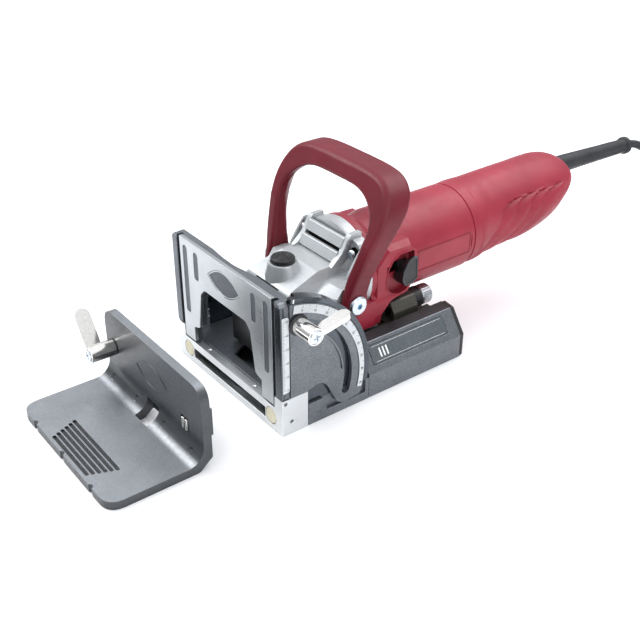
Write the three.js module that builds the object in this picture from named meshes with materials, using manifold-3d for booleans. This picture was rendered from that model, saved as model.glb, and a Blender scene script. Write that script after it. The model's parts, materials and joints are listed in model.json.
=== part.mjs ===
// Biscuit joiner (plate joiner) with a swivelling front, a plunging motor unit and a detached stop square.
// Millimetres, +Z up, +X to the machine's right, +Y from the working face back to the mains lead.
// The machine is laid out from its front face (y = 0) and its sole (z = 0). The whole group is then moved
// forward, so that the origin is the point of the sole under the cutter's axis.
import * as THREE from 'three';
import { mergeVertices } from 'three/addons/utils/BufferGeometryUtils.js';
import Module from 'manifold-3d';

const wasm = await Module();
wasm.setup();

// ---- driving dimensions ----
const GAP = 0.3; // between neighbouring pieces that touch
const FIT = 0.25; // radial play of a turning or sliding piece
const CUTTER_BACK = 52; // cutter axis behind the front face
const CUTTER_R = 50;
const CUTTER_Z = 9; // middle of the cutter above the sole
const CUTTER_HALF = 2;
const PLUNGE = 22;
const HALF_WIDTH = 64.7; // base and rails
const SOLE_T = 4;
const RAIL_START = 73.3;
const RAIL_END = 160;
const COVER_Z = 17.3; // underside of the chamber cover, top of the side walls
const FACE_HALF = 55; // bright face plate
const FACE_BOTTOM = 20.3;
const FACE_TOP = 100;
const FACE_T = 3;
const PIVOT_Z = 31; // swivel axis, on the line of the front face
const SECTOR_R = 67.3; // right sector; the left one is smaller
const SECTOR_IN = 63; // inner and outer side of the sector plates
const SECTOR_OUT = 66;
const SLOT_R = 53.05; // right arc slot and clamp bolt, from the swivel axis
const RIM_R = 71;
const LEFT_SECTOR_R = 48.3;
const LEFT_SLOT_R = 38;
const LEFT_RIM_R = 52;
const LEFT_BOLT_DEG = 17;
const BOLT_DEG = 13.3; // clamp bolt, from upright towards the back
const BOLT_R = 3;
const SWING_DEG = 90;
const MOTOR_Z = 70.5; // motor axis
const MOTOR_R = 32.7;
const MOTOR_START = 98.3;
const MOTOR_END = 201;
const GRIP_END = 321;
const GUARD_START = 313.4;
const GUARD_LENGTH = 101.8;
const GUARD_DROOP = 2.1; // degrees below level
const WALL = 3;
const HANDLE_SCREW = [74, 66.5]; // y and z of the screws that hold the bow handle
const DRUM_X = 25;
const DRUM_Z = 36.5;
const DRUM_R = 8;
const DRUM_START = 133;
const FACET_LOW = 18.5; // sloping facet of the rails, lower and upper edge
const FACET_HIGH = [52, 36];
const STOP_R = 4.8; // stop screw, from the drum's axis
const SCREW_TIP = 105; // clears the drum's tallest step at full plunge
const GEAR_TEETH = 20;
const PINION_TEETH = 8;
const GEAR_PITCH_R = 18;
const SQUARE_HALF = 63; // stop square
const SQUARE_BACK = -52;
const SQUARE_FRONT = -125;
const SQUARE_H = 60;
const SQUARE_T = 6;
const CORD_R = 3.5;
const COIL_MID_R = 40;
const COIL_HALF = 10.5; // three turns beside each other
const COIL_H = 28; // four layers
const COIL_X = 62;
const COIL_Y = 520;

const RAD = Math.PI / 180;

// ---- materials ----
const paint = (colour, roughness, metalness) =>
  new THREE.MeshStandardMaterial({ color: colour, roughness, metalness });
const RED = paint(0xa5202c, 0.45, 0);
const BURGUNDY = paint(0x7c1a26, 0.4, 0);
const CAST = paint(0xa9adb0, 0.45, 0.7);
const ANTHRACITE = paint(0x4b5158, 0.5, 0.4);
const BRIGHT = paint(0xd3d6d8, 0.25, 0.95);
const CHROME = paint(0xdfe1e3, 0.12, 1);
const STEEL = paint(0x9a9da0, 0.35, 0.9);
const BLACK = paint(0x17181a, 0.6, 0);
const CREAM = paint(0xd8d2b4, 0.7, 0);
const WHITE = paint(0xeeeeea, 0.5, 0);
const OLIVE = paint(0x6f6f63, 0.5, 0.3);
const COPPER = paint(0xb56a3a, 0.4, 0.8);

// ---- solids ----
const group = new THREE.Group();
const machine = new THREE.Group();
machine.position.y = -CUTTER_BACK;
group.add(machine);

function toSolid(geometry) {
  let plain = geometry.index ? geometry.toNonIndexed() : geometry.clone();
  plain.deleteAttribute('normal');
  plain.deleteAttribute('uv');
  plain = mergeVertices(plain, 1e-4);
  return new wasm.Manifold(new wasm.Mesh({
    numProp: 3,
    vertProperties: new Float32Array(plain.attributes.position.array),
    triVerts: new Uint32Array(plain.index.array),
  }));
}

function toGeometry(solid) {
  const mesh = solid.getMesh();
  const geometry = new THREE.BufferGeometry();
  geometry.setAttribute('position', new THREE.BufferAttribute(new Float32Array(mesh.vertProperties), 3));
  geometry.setIndex(new THREE.BufferAttribute(new Uint32Array(mesh.triVerts), 1));
  geometry.computeVertexNormals();
  return geometry;
}

function piece(name, solid, material, parent = machine) {
  const mesh = new THREE.Mesh(toGeometry(solid), material);
  mesh.name = name;
  parent.add(mesh);
  return mesh;
}

const join = (...solids) => solids.reduce((whole, next) => whole.add(next));
const cut = (whole, ...tools) => tools.reduce((rest, tool) => rest.subtract(tool), whole);

function box(x0, x1, y0, y1, z0, z1) {
  const geometry = new THREE.BoxGeometry(x1 - x0, y1 - y0, z1 - z0);
  return toSolid(geometry.translate((x0 + x1) / 2, (y0 + y1) / 2, (z0 + z1) / 2));
}

const shapeOf = (points) => new THREE.Shape(points.map(([u, v]) => new THREE.Vector2(u, v)));

function extrude(outline, depth) {
  const shape = outline instanceof THREE.Shape ? outline : shapeOf(outline);
  return new THREE.ExtrudeGeometry(shape, { depth, bevelEnabled: false, curveSegments: 12 });
}

// outline in (y, z), drawn along X
function alongX(outline, x0, x1) {
  const turn = new THREE.Matrix4().set(0, 0, 1, x0, 1, 0, 0, 0, 0, 1, 0, 0, 0, 0, 0, 1);
  return toSolid(extrude(outline, x1 - x0).applyMatrix4(turn));
}

// outline in (x, z), drawn along Y
function alongY(outline, y0, y1) {
  const turn = new THREE.Matrix4().set(1, 0, 0, 0, 0, 0, -1, y1, 0, 1, 0, 0, 0, 0, 0, 1);
  return toSolid(extrude(outline, y1 - y0).applyMatrix4(turn));
}

// outline in (x, y), drawn along Z
function alongZ(outline, z0, z1) {
  return toSolid(extrude(outline, z1 - z0).translate(0, 0, z0));
}

// a body of revolution; profile of [distance along the axis, radius]; both ends on the axis
function turned(axis, centre, profile, sides = 20) {
  const points = profile.map(([along, radius]) => new THREE.Vector2(radius, along));
  const geometry = new THREE.LatheGeometry(points, sides);
  if (axis === 'x') geometry.rotateZ(-Math.PI / 2);
  if (axis === 'z') geometry.rotateX(Math.PI / 2);
  const solid = toSolid(geometry.translate(...centre));
  return solid.volume() > 0 ? solid : toSolid(flipped(geometry));
}

function flipped(geometry) {
  const index = geometry.index.array;
  for (let i = 0; i < index.length; i += 3) [index[i], index[i + 1]] = [index[i + 1], index[i]];
  return geometry;
}

const rod = (axis, centre, from, to, radius, sides = 20) =>
  turned(axis, centre, [[from, 0], [from, radius], [to, radius], [to, 0]], sides);

const ring = (axis, centre, from, to, outer, inner, sides = 20) =>
  cut(rod(axis, centre, from, to, outer, sides), rod(axis, centre, from - 1, to + 1, inner, sides));

// closed skin through rings of points; each ring holds the same number of points
function loft(rings) {
  const count = rings[0].length;
  const last = (rings.length - 1) * count;
  const middle = (points) =>
    points.reduce((sum, point) => sum.add(point), new THREE.Vector3()).divideScalar(points.length);
  const points = [...rings.flat(), middle(rings[0]), middle(rings[rings.length - 1])];
  const faces = [];
  for (let r = 0; r + 1 < rings.length; r++) {
    for (let i = 0; i < count; i++) {
      const a = r * count + i;
      const b = r * count + ((i + 1) % count);
      faces.push(a, b, a + count, b, b + count, a + count);
    }
  }
  for (let i = 0; i < count; i++) {
    const next = (i + 1) % count;
    faces.push(points.length - 2, next, i);
    faces.push(points.length - 1, last + i, last + next);
  }
  const geometry = new THREE.BufferGeometry().setFromPoints(points);
  geometry.setIndex(faces);
  const solid = toSolid(geometry);
  return solid.volume() > 0 ? solid : toSolid(flipped(geometry));
}

const mirrorX = (solid) => solid.mirror([1, 0, 0]);

// point of the swivel plane at a radius and an angle from upright towards the back
const swivelPoint = (radius, degrees) =>
  [radius * Math.sin(degrees * RAD), PIVOT_Z + radius * Math.cos(degrees * RAD)];

const arcPoints = (radius, from, to, steps) =>
  Array.from({ length: steps + 1 }, (_, i) => swivelPoint(radius, from + ((to - from) * i) / steps));

// ---- base ----
function makeFrontFrame() {
  const block = box(56, HALF_WIDTH, 0, 21, 0, 27.6);
  const bar = box(-56.5, 56.5, 0, 6, 0, 19);
  const slot = box(-45, 45, -1, 7, 5, 13);
  const pads = [-51.7, 51.7].map((x) => rod('y', [x, 0, 10], -1, 2.3, 6.2, 20));
  const holes = [[3.1, 24.6], [7.8, 9.2]].flatMap(([y, z]) => [
    rod('x', [0, y, z], 61, 66, 1.4, 12),
    rod('x', [0, y, z], -66, -61, 1.4, 12),
  ]);
  return cut(join(bar, block, mirrorX(block)), slot, ...pads, ...holes);
}

function makeBaseCasting() {
  const sole = join(
    box(-55.7, 55.7, 6 + GAP, 21, 0, SOLE_T),
    box(-51.2, 51.2, 20.5, RAIL_END - 0.2, 0, SOLE_T),
  );
  const wall = box(50.5, HALF_WIDTH, 21 + GAP, RAIL_START - GAP, 0, COVER_Z - GAP);
  const chamberSide = box(40, 58, 21, RAIL_START, SOLE_T, 20);
  const sectorPocket = (front) =>
    alongX([[front, 18], [front + 4, 6.6], [69.8, 6.6], [69.8, 18]], 62.7, 66);
  const rightSide = cut(wall, chamberSide, sectorPocket(33));
  const leftSide = mirrorX(cut(wall, chamberSide, sectorPocket(28)));
  const bridge = box(-41, 41, RAIL_END - 3.5, RAIL_END - 0.2, SOLE_T - 0.5, 20);
  const rodSeat = rod('y', [0, 0, 14], 140, 170, 2.5 + GAP, 16);
  return join(sole, rightSide, leftSide, cut(bridge, rodSeat));
}

function makeChamberCover() {
  const plate = join(
    box(-55.7, 55.7, 6 + GAP, 21.5, COVER_Z, 19.7),
    box(-57.6, 57.6, 21 + GAP, RAIL_START - GAP, COVER_Z, 19.7),
    box(-51, 51, RAIL_START - 1, 100, COVER_Z, 19.7),
  );
  const neck = alongZ([[-18, 24], [-12, 14], [12, 14], [18, 24], [18, 101], [-18, 101]], 10, 30);
  return cut(plate, neck);
}

// plate that carries the swivel front, with a raised rim along its edge
function makeSideBracket(slotR, rimR, boltDeg) {
  const [rear] = swivelPoint(rimR, 99);
  const top = PIVOT_Z + slotR + 4.7;
  const frontEdge = 12.8;
  const inner = [[22, COVER_Z], [22, 36], ...arcPoints(slotR - 13, 75, 24, 6), [7, PIVOT_Z + slotR - 10]];
  const angleAt = (y) => Math.asin(y / rimR) / RAD;
  const outer = [[7, top], [frontEdge, top], ...arcPoints(rimR, angleAt(frontEdge), 99, 12), [rear, COVER_Z]];
  const plate = alongX([...inner, ...outer], 58, 62.6);
  const rimStart = angleAt(7.2);
  const rimBand = [...arcPoints(rimR, rimStart, 101, 16), ...arcPoints(rimR - 3.3, 101, rimStart, 16)];
  const [y, z] = swivelPoint(slotR, boltDeg);
  return cut(join(plate, alongX(rimBand, 62.2, SECTOR_OUT)), rod('x', [0, y, z], 50, 70, BOLT_R + GAP, 16));
}

function makeRail() {
  const section = [
    [51.5, 0], [HALF_WIDTH, 0], [HALF_WIDTH, FACET_LOW], FACET_HIGH, [42, 37], [42, 32.6], [49.8, 32.6],
    [49.8, 25.4], [42, 25.4], [42, 22], [51.5, 21],
  ];
  return alongY(section, RAIL_START, RAIL_END);
}

// strip set into the rail's sloping facet, between two distances along it and two depths
function facetStrip(from, to, deep, proud, y0, y1) {
  const [across, up] = [HALF_WIDTH - FACET_HIGH[0], FACET_HIGH[1] - FACET_LOW];
  const length = Math.hypot(across, up);
  const corner = (s, n) =>
    [HALF_WIDTH + (up * n - across * s) / length, FACET_LOW + (up * s + across * n) / length];
  return alongY([corner(from, deep), corner(from, proud), corner(to, proud), corner(to, deep)], y0, y1);
}

function makeRailCap() {
  const outline = [[51.5, 0.4], [64.3, 0.4], [64.3, 18.4], [51.8, 35.6], [42.4, 36.6], [42.4, 22.5], [51.5, 21]];
  return alongY(outline, RAIL_END + GAP, 163.5);
}

function makeBase() {
  piece('base_casting', makeBaseCasting(), ANTHRACITE);
  piece('front_frame', makeFrontFrame(), BRIGHT);
  piece('grip_pad_right', rod('y', [51.7, 0, 10], 0.05, 2, 5.9, 20), CREAM);
  piece('grip_pad_left', rod('y', [-51.7, 0, 10], 0.05, 2, 5.9, 20), CREAM);
  piece('chamber_cover', makeChamberCover(), ANTHRACITE);
  piece('side_bracket_right', makeSideBracket(SLOT_R, RIM_R, BOLT_DEG), ANTHRACITE);
  piece('side_bracket_left', mirrorX(makeSideBracket(LEFT_SLOT_R, LEFT_RIM_R, LEFT_BOLT_DEG)), ANTHRACITE);
  const groove = facetStrip(4.9, 18.9, -1, 1, 80, 150);
  piece('rail_right', cut(makeRail(), groove), ANTHRACITE);
  piece('rating_plate', facetStrip(5.2, 18.6, -0.7, -0.1, 80.3, 149.7), BLACK);
  const nozzleSeat = rod('x', [0, 112, 17], -70, -50, 14.5 + GAP, 24);
  piece('rail_left', cut(mirrorX(makeRail()), nozzleSeat), ANTHRACITE);
  piece('dust_nozzle', ring('x', [0, 112, 17], -90, -51.8, 14.5, 12, 24), BLACK);
  piece('rail_end_cap_right', makeRailCap(), BLACK);
  piece('rail_end_cap_left', mirrorX(makeRailCap()), BLACK);
  piece('spring_rod', rod('y', [0, 0, 14], 108, RAIL_END, 2.5, 16), STEEL);
  piece('return_spring', makeSpring(), STEEL);
  const stopBracket = join(
    box(26, 33.4, 84, 96, 20, 23),
    box(26, 33.4, 84, 89, 22, 39.8),
  );
  const screwAxis = [DRUM_X + STOP_R, 0, DRUM_Z];
  const screwHole = rod('y', screwAxis, 82, 92, 1.8 + GAP, 12);
  piece('depth_stop_bracket', cut(stopBracket, screwHole), STEEL);
  piece('depth_stop_screw', rod('y', screwAxis, 81, SCREW_TIP, 1.8, 12), STEEL);
  const [y, z] = swivelPoint(SLOT_R, BOLT_DEG);
  const bolt = turned('x', [0, y, z], [
    [56, 0], [56, 5], [57.7, 5], [57.7, BOLT_R], [66.4, BOLT_R], [66.4, 0],
  ], 20);
  piece('clamp_bolt', bolt, STEEL);
  const [leftY, leftZ] = swivelPoint(LEFT_SLOT_R, LEFT_BOLT_DEG);
  const leftBolt = turned('x', [0, leftY, leftZ], [
    [57, 0], [57, BOLT_R], [66.3, BOLT_R], [66.3, 5.8], [69, 5.8], [69, 0],
  ], 20);
  piece('guide_bolt_left', mirrorX(leftBolt), STEEL);
}

// helical return spring around its rod
function makeSpring() {
  const turns = 7;
  const steps = turns * 8;
  const radius = 4.6;
  const [start, end] = [111, 148];
  const points = Array.from({ length: steps + 1 }, (_, i) => {
    const angle = (i / steps) * turns * 2 * Math.PI;
    return new THREE.Vector3(radius * Math.cos(angle), start + ((end - start) * i) / steps,
      14 + radius * Math.sin(angle));
  });
  return tube(points, 0.7, 5);
}

// round tube along a smooth curve; faces pushed out along frames that never twist
function tube(points, radius, sides) {
  const curve = new THREE.CatmullRomCurve3(points, false, 'centripetal');
  const circle = new THREE.Shape(Array.from({ length: sides }, (_, i) => {
    const angle = (i / sides) * 2 * Math.PI;
    return new THREE.Vector2(radius * Math.cos(angle), radius * Math.sin(angle));
  }));
  const geometry = new THREE.ExtrudeGeometry(circle, { steps: points.length - 1, extrudePath: curve });
  return toSolid(geometry);
}

// ---- swivel front ----
const windowOutline = [
  [-42, FACE_BOTTOM - 1], [42, FACE_BOTTOM - 1], [42, 32.5], [34.7, 35], [31.5, 55], [30, 64.5],
  [28.5, 68], [25, 69.5], [-25, 69.5], [-28.5, 68], [-30, 64.5], [-31.5, 55], [-34.7, 35], [-42, 32.5],
];

function makeFacePlate() {
  const plate = box(-FACE_HALF, FACE_HALF, 0, FACE_T, FACE_BOTTOM, FACE_TOP);
  const slots = [];
  for (const side of [-1, 1]) {
    slots.push(alongY(roundSlot(side * 34.5, 73, 94.5, 2.75), -1, 2.2));
    slots.push(alongY(roundSlot(side * 48.3, 42, 95, 2.75), -1, 2.2));
  }
  const badgePocket = alongY(lens(0, 85, 19.5, 9), -1, 1.2);
  return cut(plate, alongY(windowOutline, -1, 5), ...slots, badgePocket);
}

function roundSlot(x, z0, z1, r) {
  const shape = new THREE.Shape();
  shape.absarc(x, z1 - r, r, 0, Math.PI);
  shape.absarc(x, z0 + r, r, Math.PI, 2 * Math.PI);
  return new THREE.Shape(shape.getPoints(8));
}

// pointed oval between two arcs
function lens(x, z, halfLength, halfHeight, steps = 12) {
  const points = [];
  for (const side of [1, -1]) {
    for (let i = 0; i < steps; i++) {
      const t = 1 - (2 * i) / steps;
      points.push([x + side * t * halfLength, z + side * halfHeight * (1 - t * t)]);
    }
  }
  return points;
}

function makeSwivelFrame() {
  const back = FACE_T + GAP;
  const deck = box(-FACE_HALF - 3.2, FACE_HALF + 3.2, back, 6, FACE_BOTTOM, FACE_TOP - 0.5);
  const feet = box(54, 60, 0, 7, 19, 29);
  const lip = alongY([[58.2, 29], [65, 29], [65, 96.5], [62, 99.5], [58.2, 99.5]], 0, 6);
  const topBand = alongZ([
    [-62, 5.5], [62, 5.5], [62, 12], [40, 12], [28, 7], [-28, 7], [-40, 12], [-62, 12],
  ], 89.6, FACE_TOP - 0.5);
  const grooves = [-1, 1].map((side) => box(Math.min(side * 55.2, side * 58.2), Math.max(side * 55.2, side * 58.2),
    -1, 4.7, 31, 99.6));
  const whole = join(deck, topBand, lip, mirrorX(lip));
  return cut(whole, alongY(windowOutline, -1, 20), feet, mirrorX(feet), ...grooves);
}

// plate with an arc slot around the swivel axis; lobe is the part of the outline below the slot's rear end
function makeSector(sectorR, slotR, boltDeg, lobe, lastAngle) {
  const frontAngle = Math.asin((6 + GAP) / sectorR) / RAD;
  const outline = [[6 + GAP, 28.8], [20.6, 29.4], ...lobe, ...arcPoints(sectorR, lastAngle, frontAngle, 20)];
  const half = BOLT_R + GAP;
  const [from, to] = [boltDeg - 1.2, boltDeg + SWING_DEG + 1.2];
  const slot = alongX([...arcPoints(slotR + half, from, to, 18), ...arcPoints(slotR - half, to, from, 18)],
    60, 70);
  const ends = [from, to].map((angle) => {
    const [y, z] = swivelPoint(slotR, angle);
    return rod('x', [0, y, z], 60, 70, half, 16);
  });
  const recess = alongX([...arcPoints(slotR - 9, 30, 84, 10), ...arcPoints(slotR - 17, 78, 36, 8)],
    SECTOR_OUT - 1.2, 70);
  return cut(alongX(outline, SECTOR_IN, SECTOR_OUT), slot, ...ends, recess);
}

function makeSwivelFront() {
  piece('swivel_frame', makeSwivelFrame(), ANTHRACITE);
  piece('front_face_plate', makeFacePlate(), BRIGHT);
  piece('lens_badge', alongY(lens(0, 85, 19, 8.6), 0.35, 0.9), ANTHRACITE);
  const lobe = [[28, 31.5], [31.5, 31], [35.9, 27.1], [44.1, 10.2], [49.3, 7.7]];
  const leftLobe = [[26, 29.5], [29.5, 24], [30, 17], [32, 12.5], [36, 11.5], [42, 11.5]];
  piece('sector_right', makeSector(SECTOR_R, SLOT_R, BOLT_DEG, lobe, 109.5), ANTHRACITE);
  const left = makeSector(LEFT_SECTOR_R, LEFT_SLOT_R, LEFT_BOLT_DEG, leftLobe, 113);
  piece('sector_left', mirrorX(left), ANTHRACITE);
  const scale = [...arcPoints(66.6, 8, 104, 16), ...arcPoints(60.8, 104, 8, 16)];
  piece('angle_scale', alongX(scale, SECTOR_OUT + GAP, SECTOR_OUT + 0.6), WHITE);
  piece('height_scale', box(65 + GAP, 65.6, 0.5, 5.8, 34, 90), WHITE);
}

// barrel with a flag-like paddle standing out from it; built along +X and turned about the barrel
function makeLever(from, to, paddleFrom, reach, tilt) {
  const barrel = turned('x', [0, 0, 0], [
    [from, 0], [from, 5.5], [from + 1, 6], [to - 1, 6], [to, 5.2], [to, 0],
  ], 24);
  const paddle = new THREE.Shape();
  paddle.moveTo(paddleFrom, 0);
  paddle.lineTo(to - 0.5, 0);
  const half = (to - 0.5 - paddleFrom) / 2;
  paddle.absarc(to - 0.5 - half, reach - half, half, 0, Math.PI);
  const flag = alongZ(new THREE.Shape(paddle.getPoints(8)), -1.5, 1.5);
  return join(barrel, flag).rotate([tilt, 0, 0]);
}

function makeClampLever() {
  const [y, z] = swivelPoint(SLOT_R, BOLT_DEG);
  const lever = cut(makeLever(66.8, 86, 74.5, 29, 11.5), rod('x', [0, 0, 0], 60, 66.9, BOLT_R + FIT, 16));
  piece('clamp_lever', lever.translate([0, y, z]), CHROME);
}

// ---- motor unit ----
function makeCarriage() {
  const plate = box(-49.4, 49.4, 61, 155, 26, 32);
  const lug = box(-6, 6, 149, 154, 8, 27);
  const rodHole = rod('y', [0, 0, 14], 140, 160, 2.5 + FIT, 16);
  const stopSlot = box(25, 34.2, 82, 113, 20, 40);
  const gearSeat = box(-30, 30, 55, 78, 20, 40);
  const drumTrough = rod('y', [DRUM_X, 0, DRUM_Z], DRUM_START - 7, 160, DRUM_R + 0.8, 24);
  return cut(join(plate, lug), rodHole, stopSlot, gearSeat, drumTrough);
}

function makeGearHousing() {
  const side = [[24, 23], [73.5, 23], [73.5, 40], [80, 44], [80, 84.5], [62, 84.5], [45, 79.5], [36, 76.5],
    [31, 69.5], [24, 62]];
  const front = [[29, 23], [29, 66], [24, 78], [20, 88], [-20, 88], [-24, 78], [-29, 66], [-29, 23]];
  const head = alongX(side, -40, 40).intersect(alongY(front, 0, 120));
  const cone = turned('y', [0, 0, MOTOR_Z], [[70, 0], [70, 25], [84, 32], [91, 36], [98, 36], [98, 0]], 24);
  const boss = turned('z', [0, 48, 0], [[72, 0], [72, 12], [83, 11], [88, 10.2], [88, 0]], 20);
  const ribOutline = [[-26, 74], [26, 74], [23, 92], [14, 99], [-14, 99], [-23, 92]];
  const ribs = [76, 84].map((y) => alongY(ribOutline, y, y + 4));
  const lug = rod('x', [0, ...HANDLE_SCREW], 15, 40.2, 9, 24);
  const outer = join(head, cone, boss, ...ribs, lug, mirrorX(lug));
  const neck = rod('z', [0, CUTTER_BACK, 0], 20, 30, 8, 24);
  const bearingBore = rod('z', [0, CUTTER_BACK, 0], 26.5, 55, 13 + GAP, 20);
  const gearRoom = rod('z', [0, CUTTER_BACK, 0], 50, 75.5, 21.5, 20);
  const shaftRoom = rod('y', [0, 0, MOTOR_Z], 50, 100, 11.5, 24);
  const bearingSeat = rod('y', [0, 0, MOTOR_Z], 84, 99, 13.3, 24);
  const pinHole = rod('z', [0, 42, 0], 70, 90, 2.2 + FIT, 16);
  const buttonRoom = rod('z', [0, 48, 0], 80, 90, 8.5 + FIT, 24);
  const screwHole = rod('x', [0, ...HANDLE_SCREW], 34, 41, 3.3, 16);
  const handleHoles = [screwHole, mirrorX(screwHole)];
  return cut(outer, neck, bearingBore, gearRoom, shaftRoom, bearingSeat, buttonRoom, pinHole, ...handleHoles);
}

function makeMotorHousing() {
  const shell = turned('y', [0, 0, MOTOR_Z], [
    [MOTOR_START, 0], [MOTOR_START, 36], [106, 36], [111, MOTOR_R], [MOTOR_END, MOTOR_R], [MOTOR_END, 0],
  ], 36);
  const foot = box(-24, 24, MOTOR_START, 117, 32.3, 45);
  const cradleFront = [[-36, 34], [36, 34], [38, 43], [38, 53], [33, 60], [-33, 60], [-38, 53], [-38, 43]];
  const cradleSide = [[98, 30], [106, 30], [106, 43], [113.5, 50.6], [125, 56.5], [125, 61], [98, 61]];
  const cradle = alongY(cradleFront, MOTOR_START, 126).intersect(alongX(cradleSide, -40, 40));
  const besideGears = alongX([[77, 46], [80, 42], [84, 36], [100, 36], [100, 56], [80, 56]], 30.5, 38);
  const lobe = cut(besideGears, rod('y', [0, 0, MOTOR_Z], 70, MOTOR_START, 36 + GAP, 32));
  const bore = rod('y', [0, 0, MOTOR_Z], 90, 220, MOTOR_R - WALL, 32);
  const flatPanel = box(31.8, 40, 139, 196, 61, 79.5);
  const switchSlot = box(28, 40, 114, 132.5, 69.5, 77.5);
  const stopPath = box(25.2, 34.2, 76, 128, 30, 40.6);
  const body = join(shell, foot, cradle, lobe, mirrorX(lobe));
  return cut(body, bore, flatPanel, mirrorX(flatPanel), switchSlot, stopPath);
}

// oval section of the rear grip; top and bottom are measured from the motor's axis
function gripRing(y, halfWidth, top, bottom, count = 20) {
  const centre = MOTOR_Z + (top - bottom) / 2;
  const halfHeight = (top + bottom) / 2;
  return Array.from({ length: count }, (_, i) => {
    const angle = (i / count) * 2 * Math.PI;
    return new THREE.Vector3(halfWidth * Math.cos(angle), y, centre + halfHeight * Math.sin(angle));
  });
}

// distance back, half width, height above and depth below the motor's axis
const GRIP_SECTIONS = [
  [220, 31.5, 33, 30.5], [245, 30.2, 33.8, 28.8], [275, 29.8, 34, 27], [288, 29.5, 34.2, 23.5],
  [298, 29, 34, 18.5], [306, 28, 33.5, 13], [313, 26, 32.3, 7], [318, 23, 30.5, 1], [GRIP_END, 19.5, 28, -4],
];

function gripSkin(sections, shrink) {
  return loft(sections.map(([y, w, top, bottom]) => gripRing(y, w - shrink, top - shrink, bottom - shrink)));
}

function makeRearGrip() {
  const seam = (y) => [y, MOTOR_R, MOTOR_R, MOTOR_R];
  const outer = gripSkin([seam(MOTOR_END + GAP), ...GRIP_SECTIONS], 0);
  const inner = gripSkin([seam(MOTOR_END - 5), ...GRIP_SECTIONS.slice(0, -2)], WALL);
  const guardHole = rod('y', [0, 0, guardHeight(0)], GUARD_START - 6, 325, 7.4 + GAP, 20);
  return cut(outer, inner, guardHole);
}

// middle of the cord guard above the sole, at a distance along it
function guardHeight(along) {
  return 86.1 + (GUARD_LENGTH - along) * Math.sin(GUARD_DROOP * RAD);
}

function makeBowHandle() {
  const right = [
    [48, 66], [49, 72], [51.5, 84], [55, 97], [57.5, 110], [59, 121], [58.5, 129], [56, 137], [51, 144],
    [44, 148.5], [34, 150.5], [18, 151.5],
  ];
  const inside = [
    [18, 139], [30, 137], [38, 132.5], [44, 126.5], [47, 119], [46.5, 109], [44, 97], [41.5, 85], [40.6, 74],
    [40.6, 66],
  ];
  const mirrored = (points) => points.map(([x, z]) => [-x, z]).reverse();
  const outline = [...right, ...mirrored(right), ...mirrored(inside), ...inside];
  const bow = leaned(alongY(outline, 0, 1));
  const lug = rod('x', [0, ...HANDLE_SCREW], 40.6, 49, 10.5, 24);
  const hole = rod('x', [0, ...HANDLE_SCREW], 38, 52, 3.3, 16);
  return cut(join(bow, lug, mirrorX(lug)), hole, mirrorX(hole));
}

// height, front and back of the bow handle: it leans back as it rises
const HANDLE_LINES = [
  [57, 63, 85], [72, 66, 86.5], [84, 69, 91], [97, 73, 97.5], [110, 77, 103], [121, 82, 108], [130, 86.5, 112],
  [140, 91.5, 115.5], [152, 97, 119],
];

// a slab one unit deep, stretched between the handle's front and back lines
function leaned(slab) {
  const mesh = slab.getMesh();
  const vertProperties = new Float32Array(mesh.vertProperties);
  for (let i = 0; i < vertProperties.length; i += 3) {
    const height = vertProperties[i + 2];
    const above = HANDLE_LINES.findIndex(([z]) => z >= height);
    const [low, high] = [HANDLE_LINES[above - 1], HANDLE_LINES[above]];
    const t = (height - low[0]) / (high[0] - low[0]);
    const front = low[1] + t * (high[1] - low[1]);
    const back = low[2] + t * (high[2] - low[2]);
    vertProperties[i + 1] = front + vertProperties[i + 1] * (back - front);
  }
  return new wasm.Manifold(new wasm.Mesh({ numProp: 3, vertProperties, triVerts: mesh.triVerts }));
}

function makeCordGuard() {
  const sleeve = turned('y', [0, 0, 0], [
    [0, 0], [0, 7.4], [GUARD_LENGTH - 4, 6], [GUARD_LENGTH - 4, 7.5], [GUARD_LENGTH, 7.5], [GUARD_LENGTH, 0],
  ], 20);
  const bore = rod('y', [0, 0, 0], -1, GUARD_LENGTH + 1, CORD_R + GAP, 16);
  return cut(sleeve, bore).rotate([-GUARD_DROOP, 0, 0]).translate([0, GUARD_START, guardHeight(0)]);
}

function makeMotorUnit() {
  piece('slide_carriage', makeCarriage(), OLIVE);
  piece('gear_housing', makeGearHousing(), CAST);
  piece('motor_housing', makeMotorHousing(), RED);
  piece('rear_grip', makeRearGrip(), RED);
  piece('bow_handle', makeBowHandle(), BURGUNDY);
  const handleScrew = turned('x', [0, ...HANDLE_SCREW], [
    [35, 0], [35, 3], [49 + GAP, 3], [49 + GAP, 7], [51.5, 6.4], [52.5, 4], [52.5, 0],
  ], 20);
  piece('handle_screw_right', handleScrew, STEEL);
  piece('handle_screw_left', mirrorX(handleScrew), STEEL);
  piece('stator', ring('y', [0, 0, MOTOR_Z], 140, 178, MOTOR_R - WALL - 1.6, 18, 28), STEEL);
  piece('spindle_bearing', ring('z', [0, CUTTER_BACK, 0], 27, 36, 13, 6 + FIT, 24), STEEL);
  piece('armature_bearing_front', ring('y', [0, 0, MOTOR_Z], 84.4, 92, 13, 4 + FIT, 24), STEEL);
  piece('armature_bearing_rear', ring('y', [0, 0, MOTOR_Z], 203, 210, 11, 4 + FIT, 24), STEEL);
  piece('brush_holder_right', box(12, 28, 187, 196, MOTOR_Z - 4, MOTOR_Z + 4), BLACK);
  piece('brush_holder_left', box(-28, -12, 187, 196, MOTOR_Z - 4, MOTOR_Z + 4), BLACK);
  piece('cord_guard', makeCordGuard(), BLACK);
}

function makeSwitch() {
  const outline = [
    [122.5, 61.6], [129, 62.4], [134, 65], [133.4, 82.4], [131, 83.4], [124.6, 80], [120.8, 74], [119.9, 66.5],
  ];
  const paddle = alongX(outline, MOTOR_R + 0.6, 43);
  const stem = box(30, 34, 122.5, 131.5, 70, 77);
  piece('switch_slider', join(paddle, stem), BLACK);
}

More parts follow.
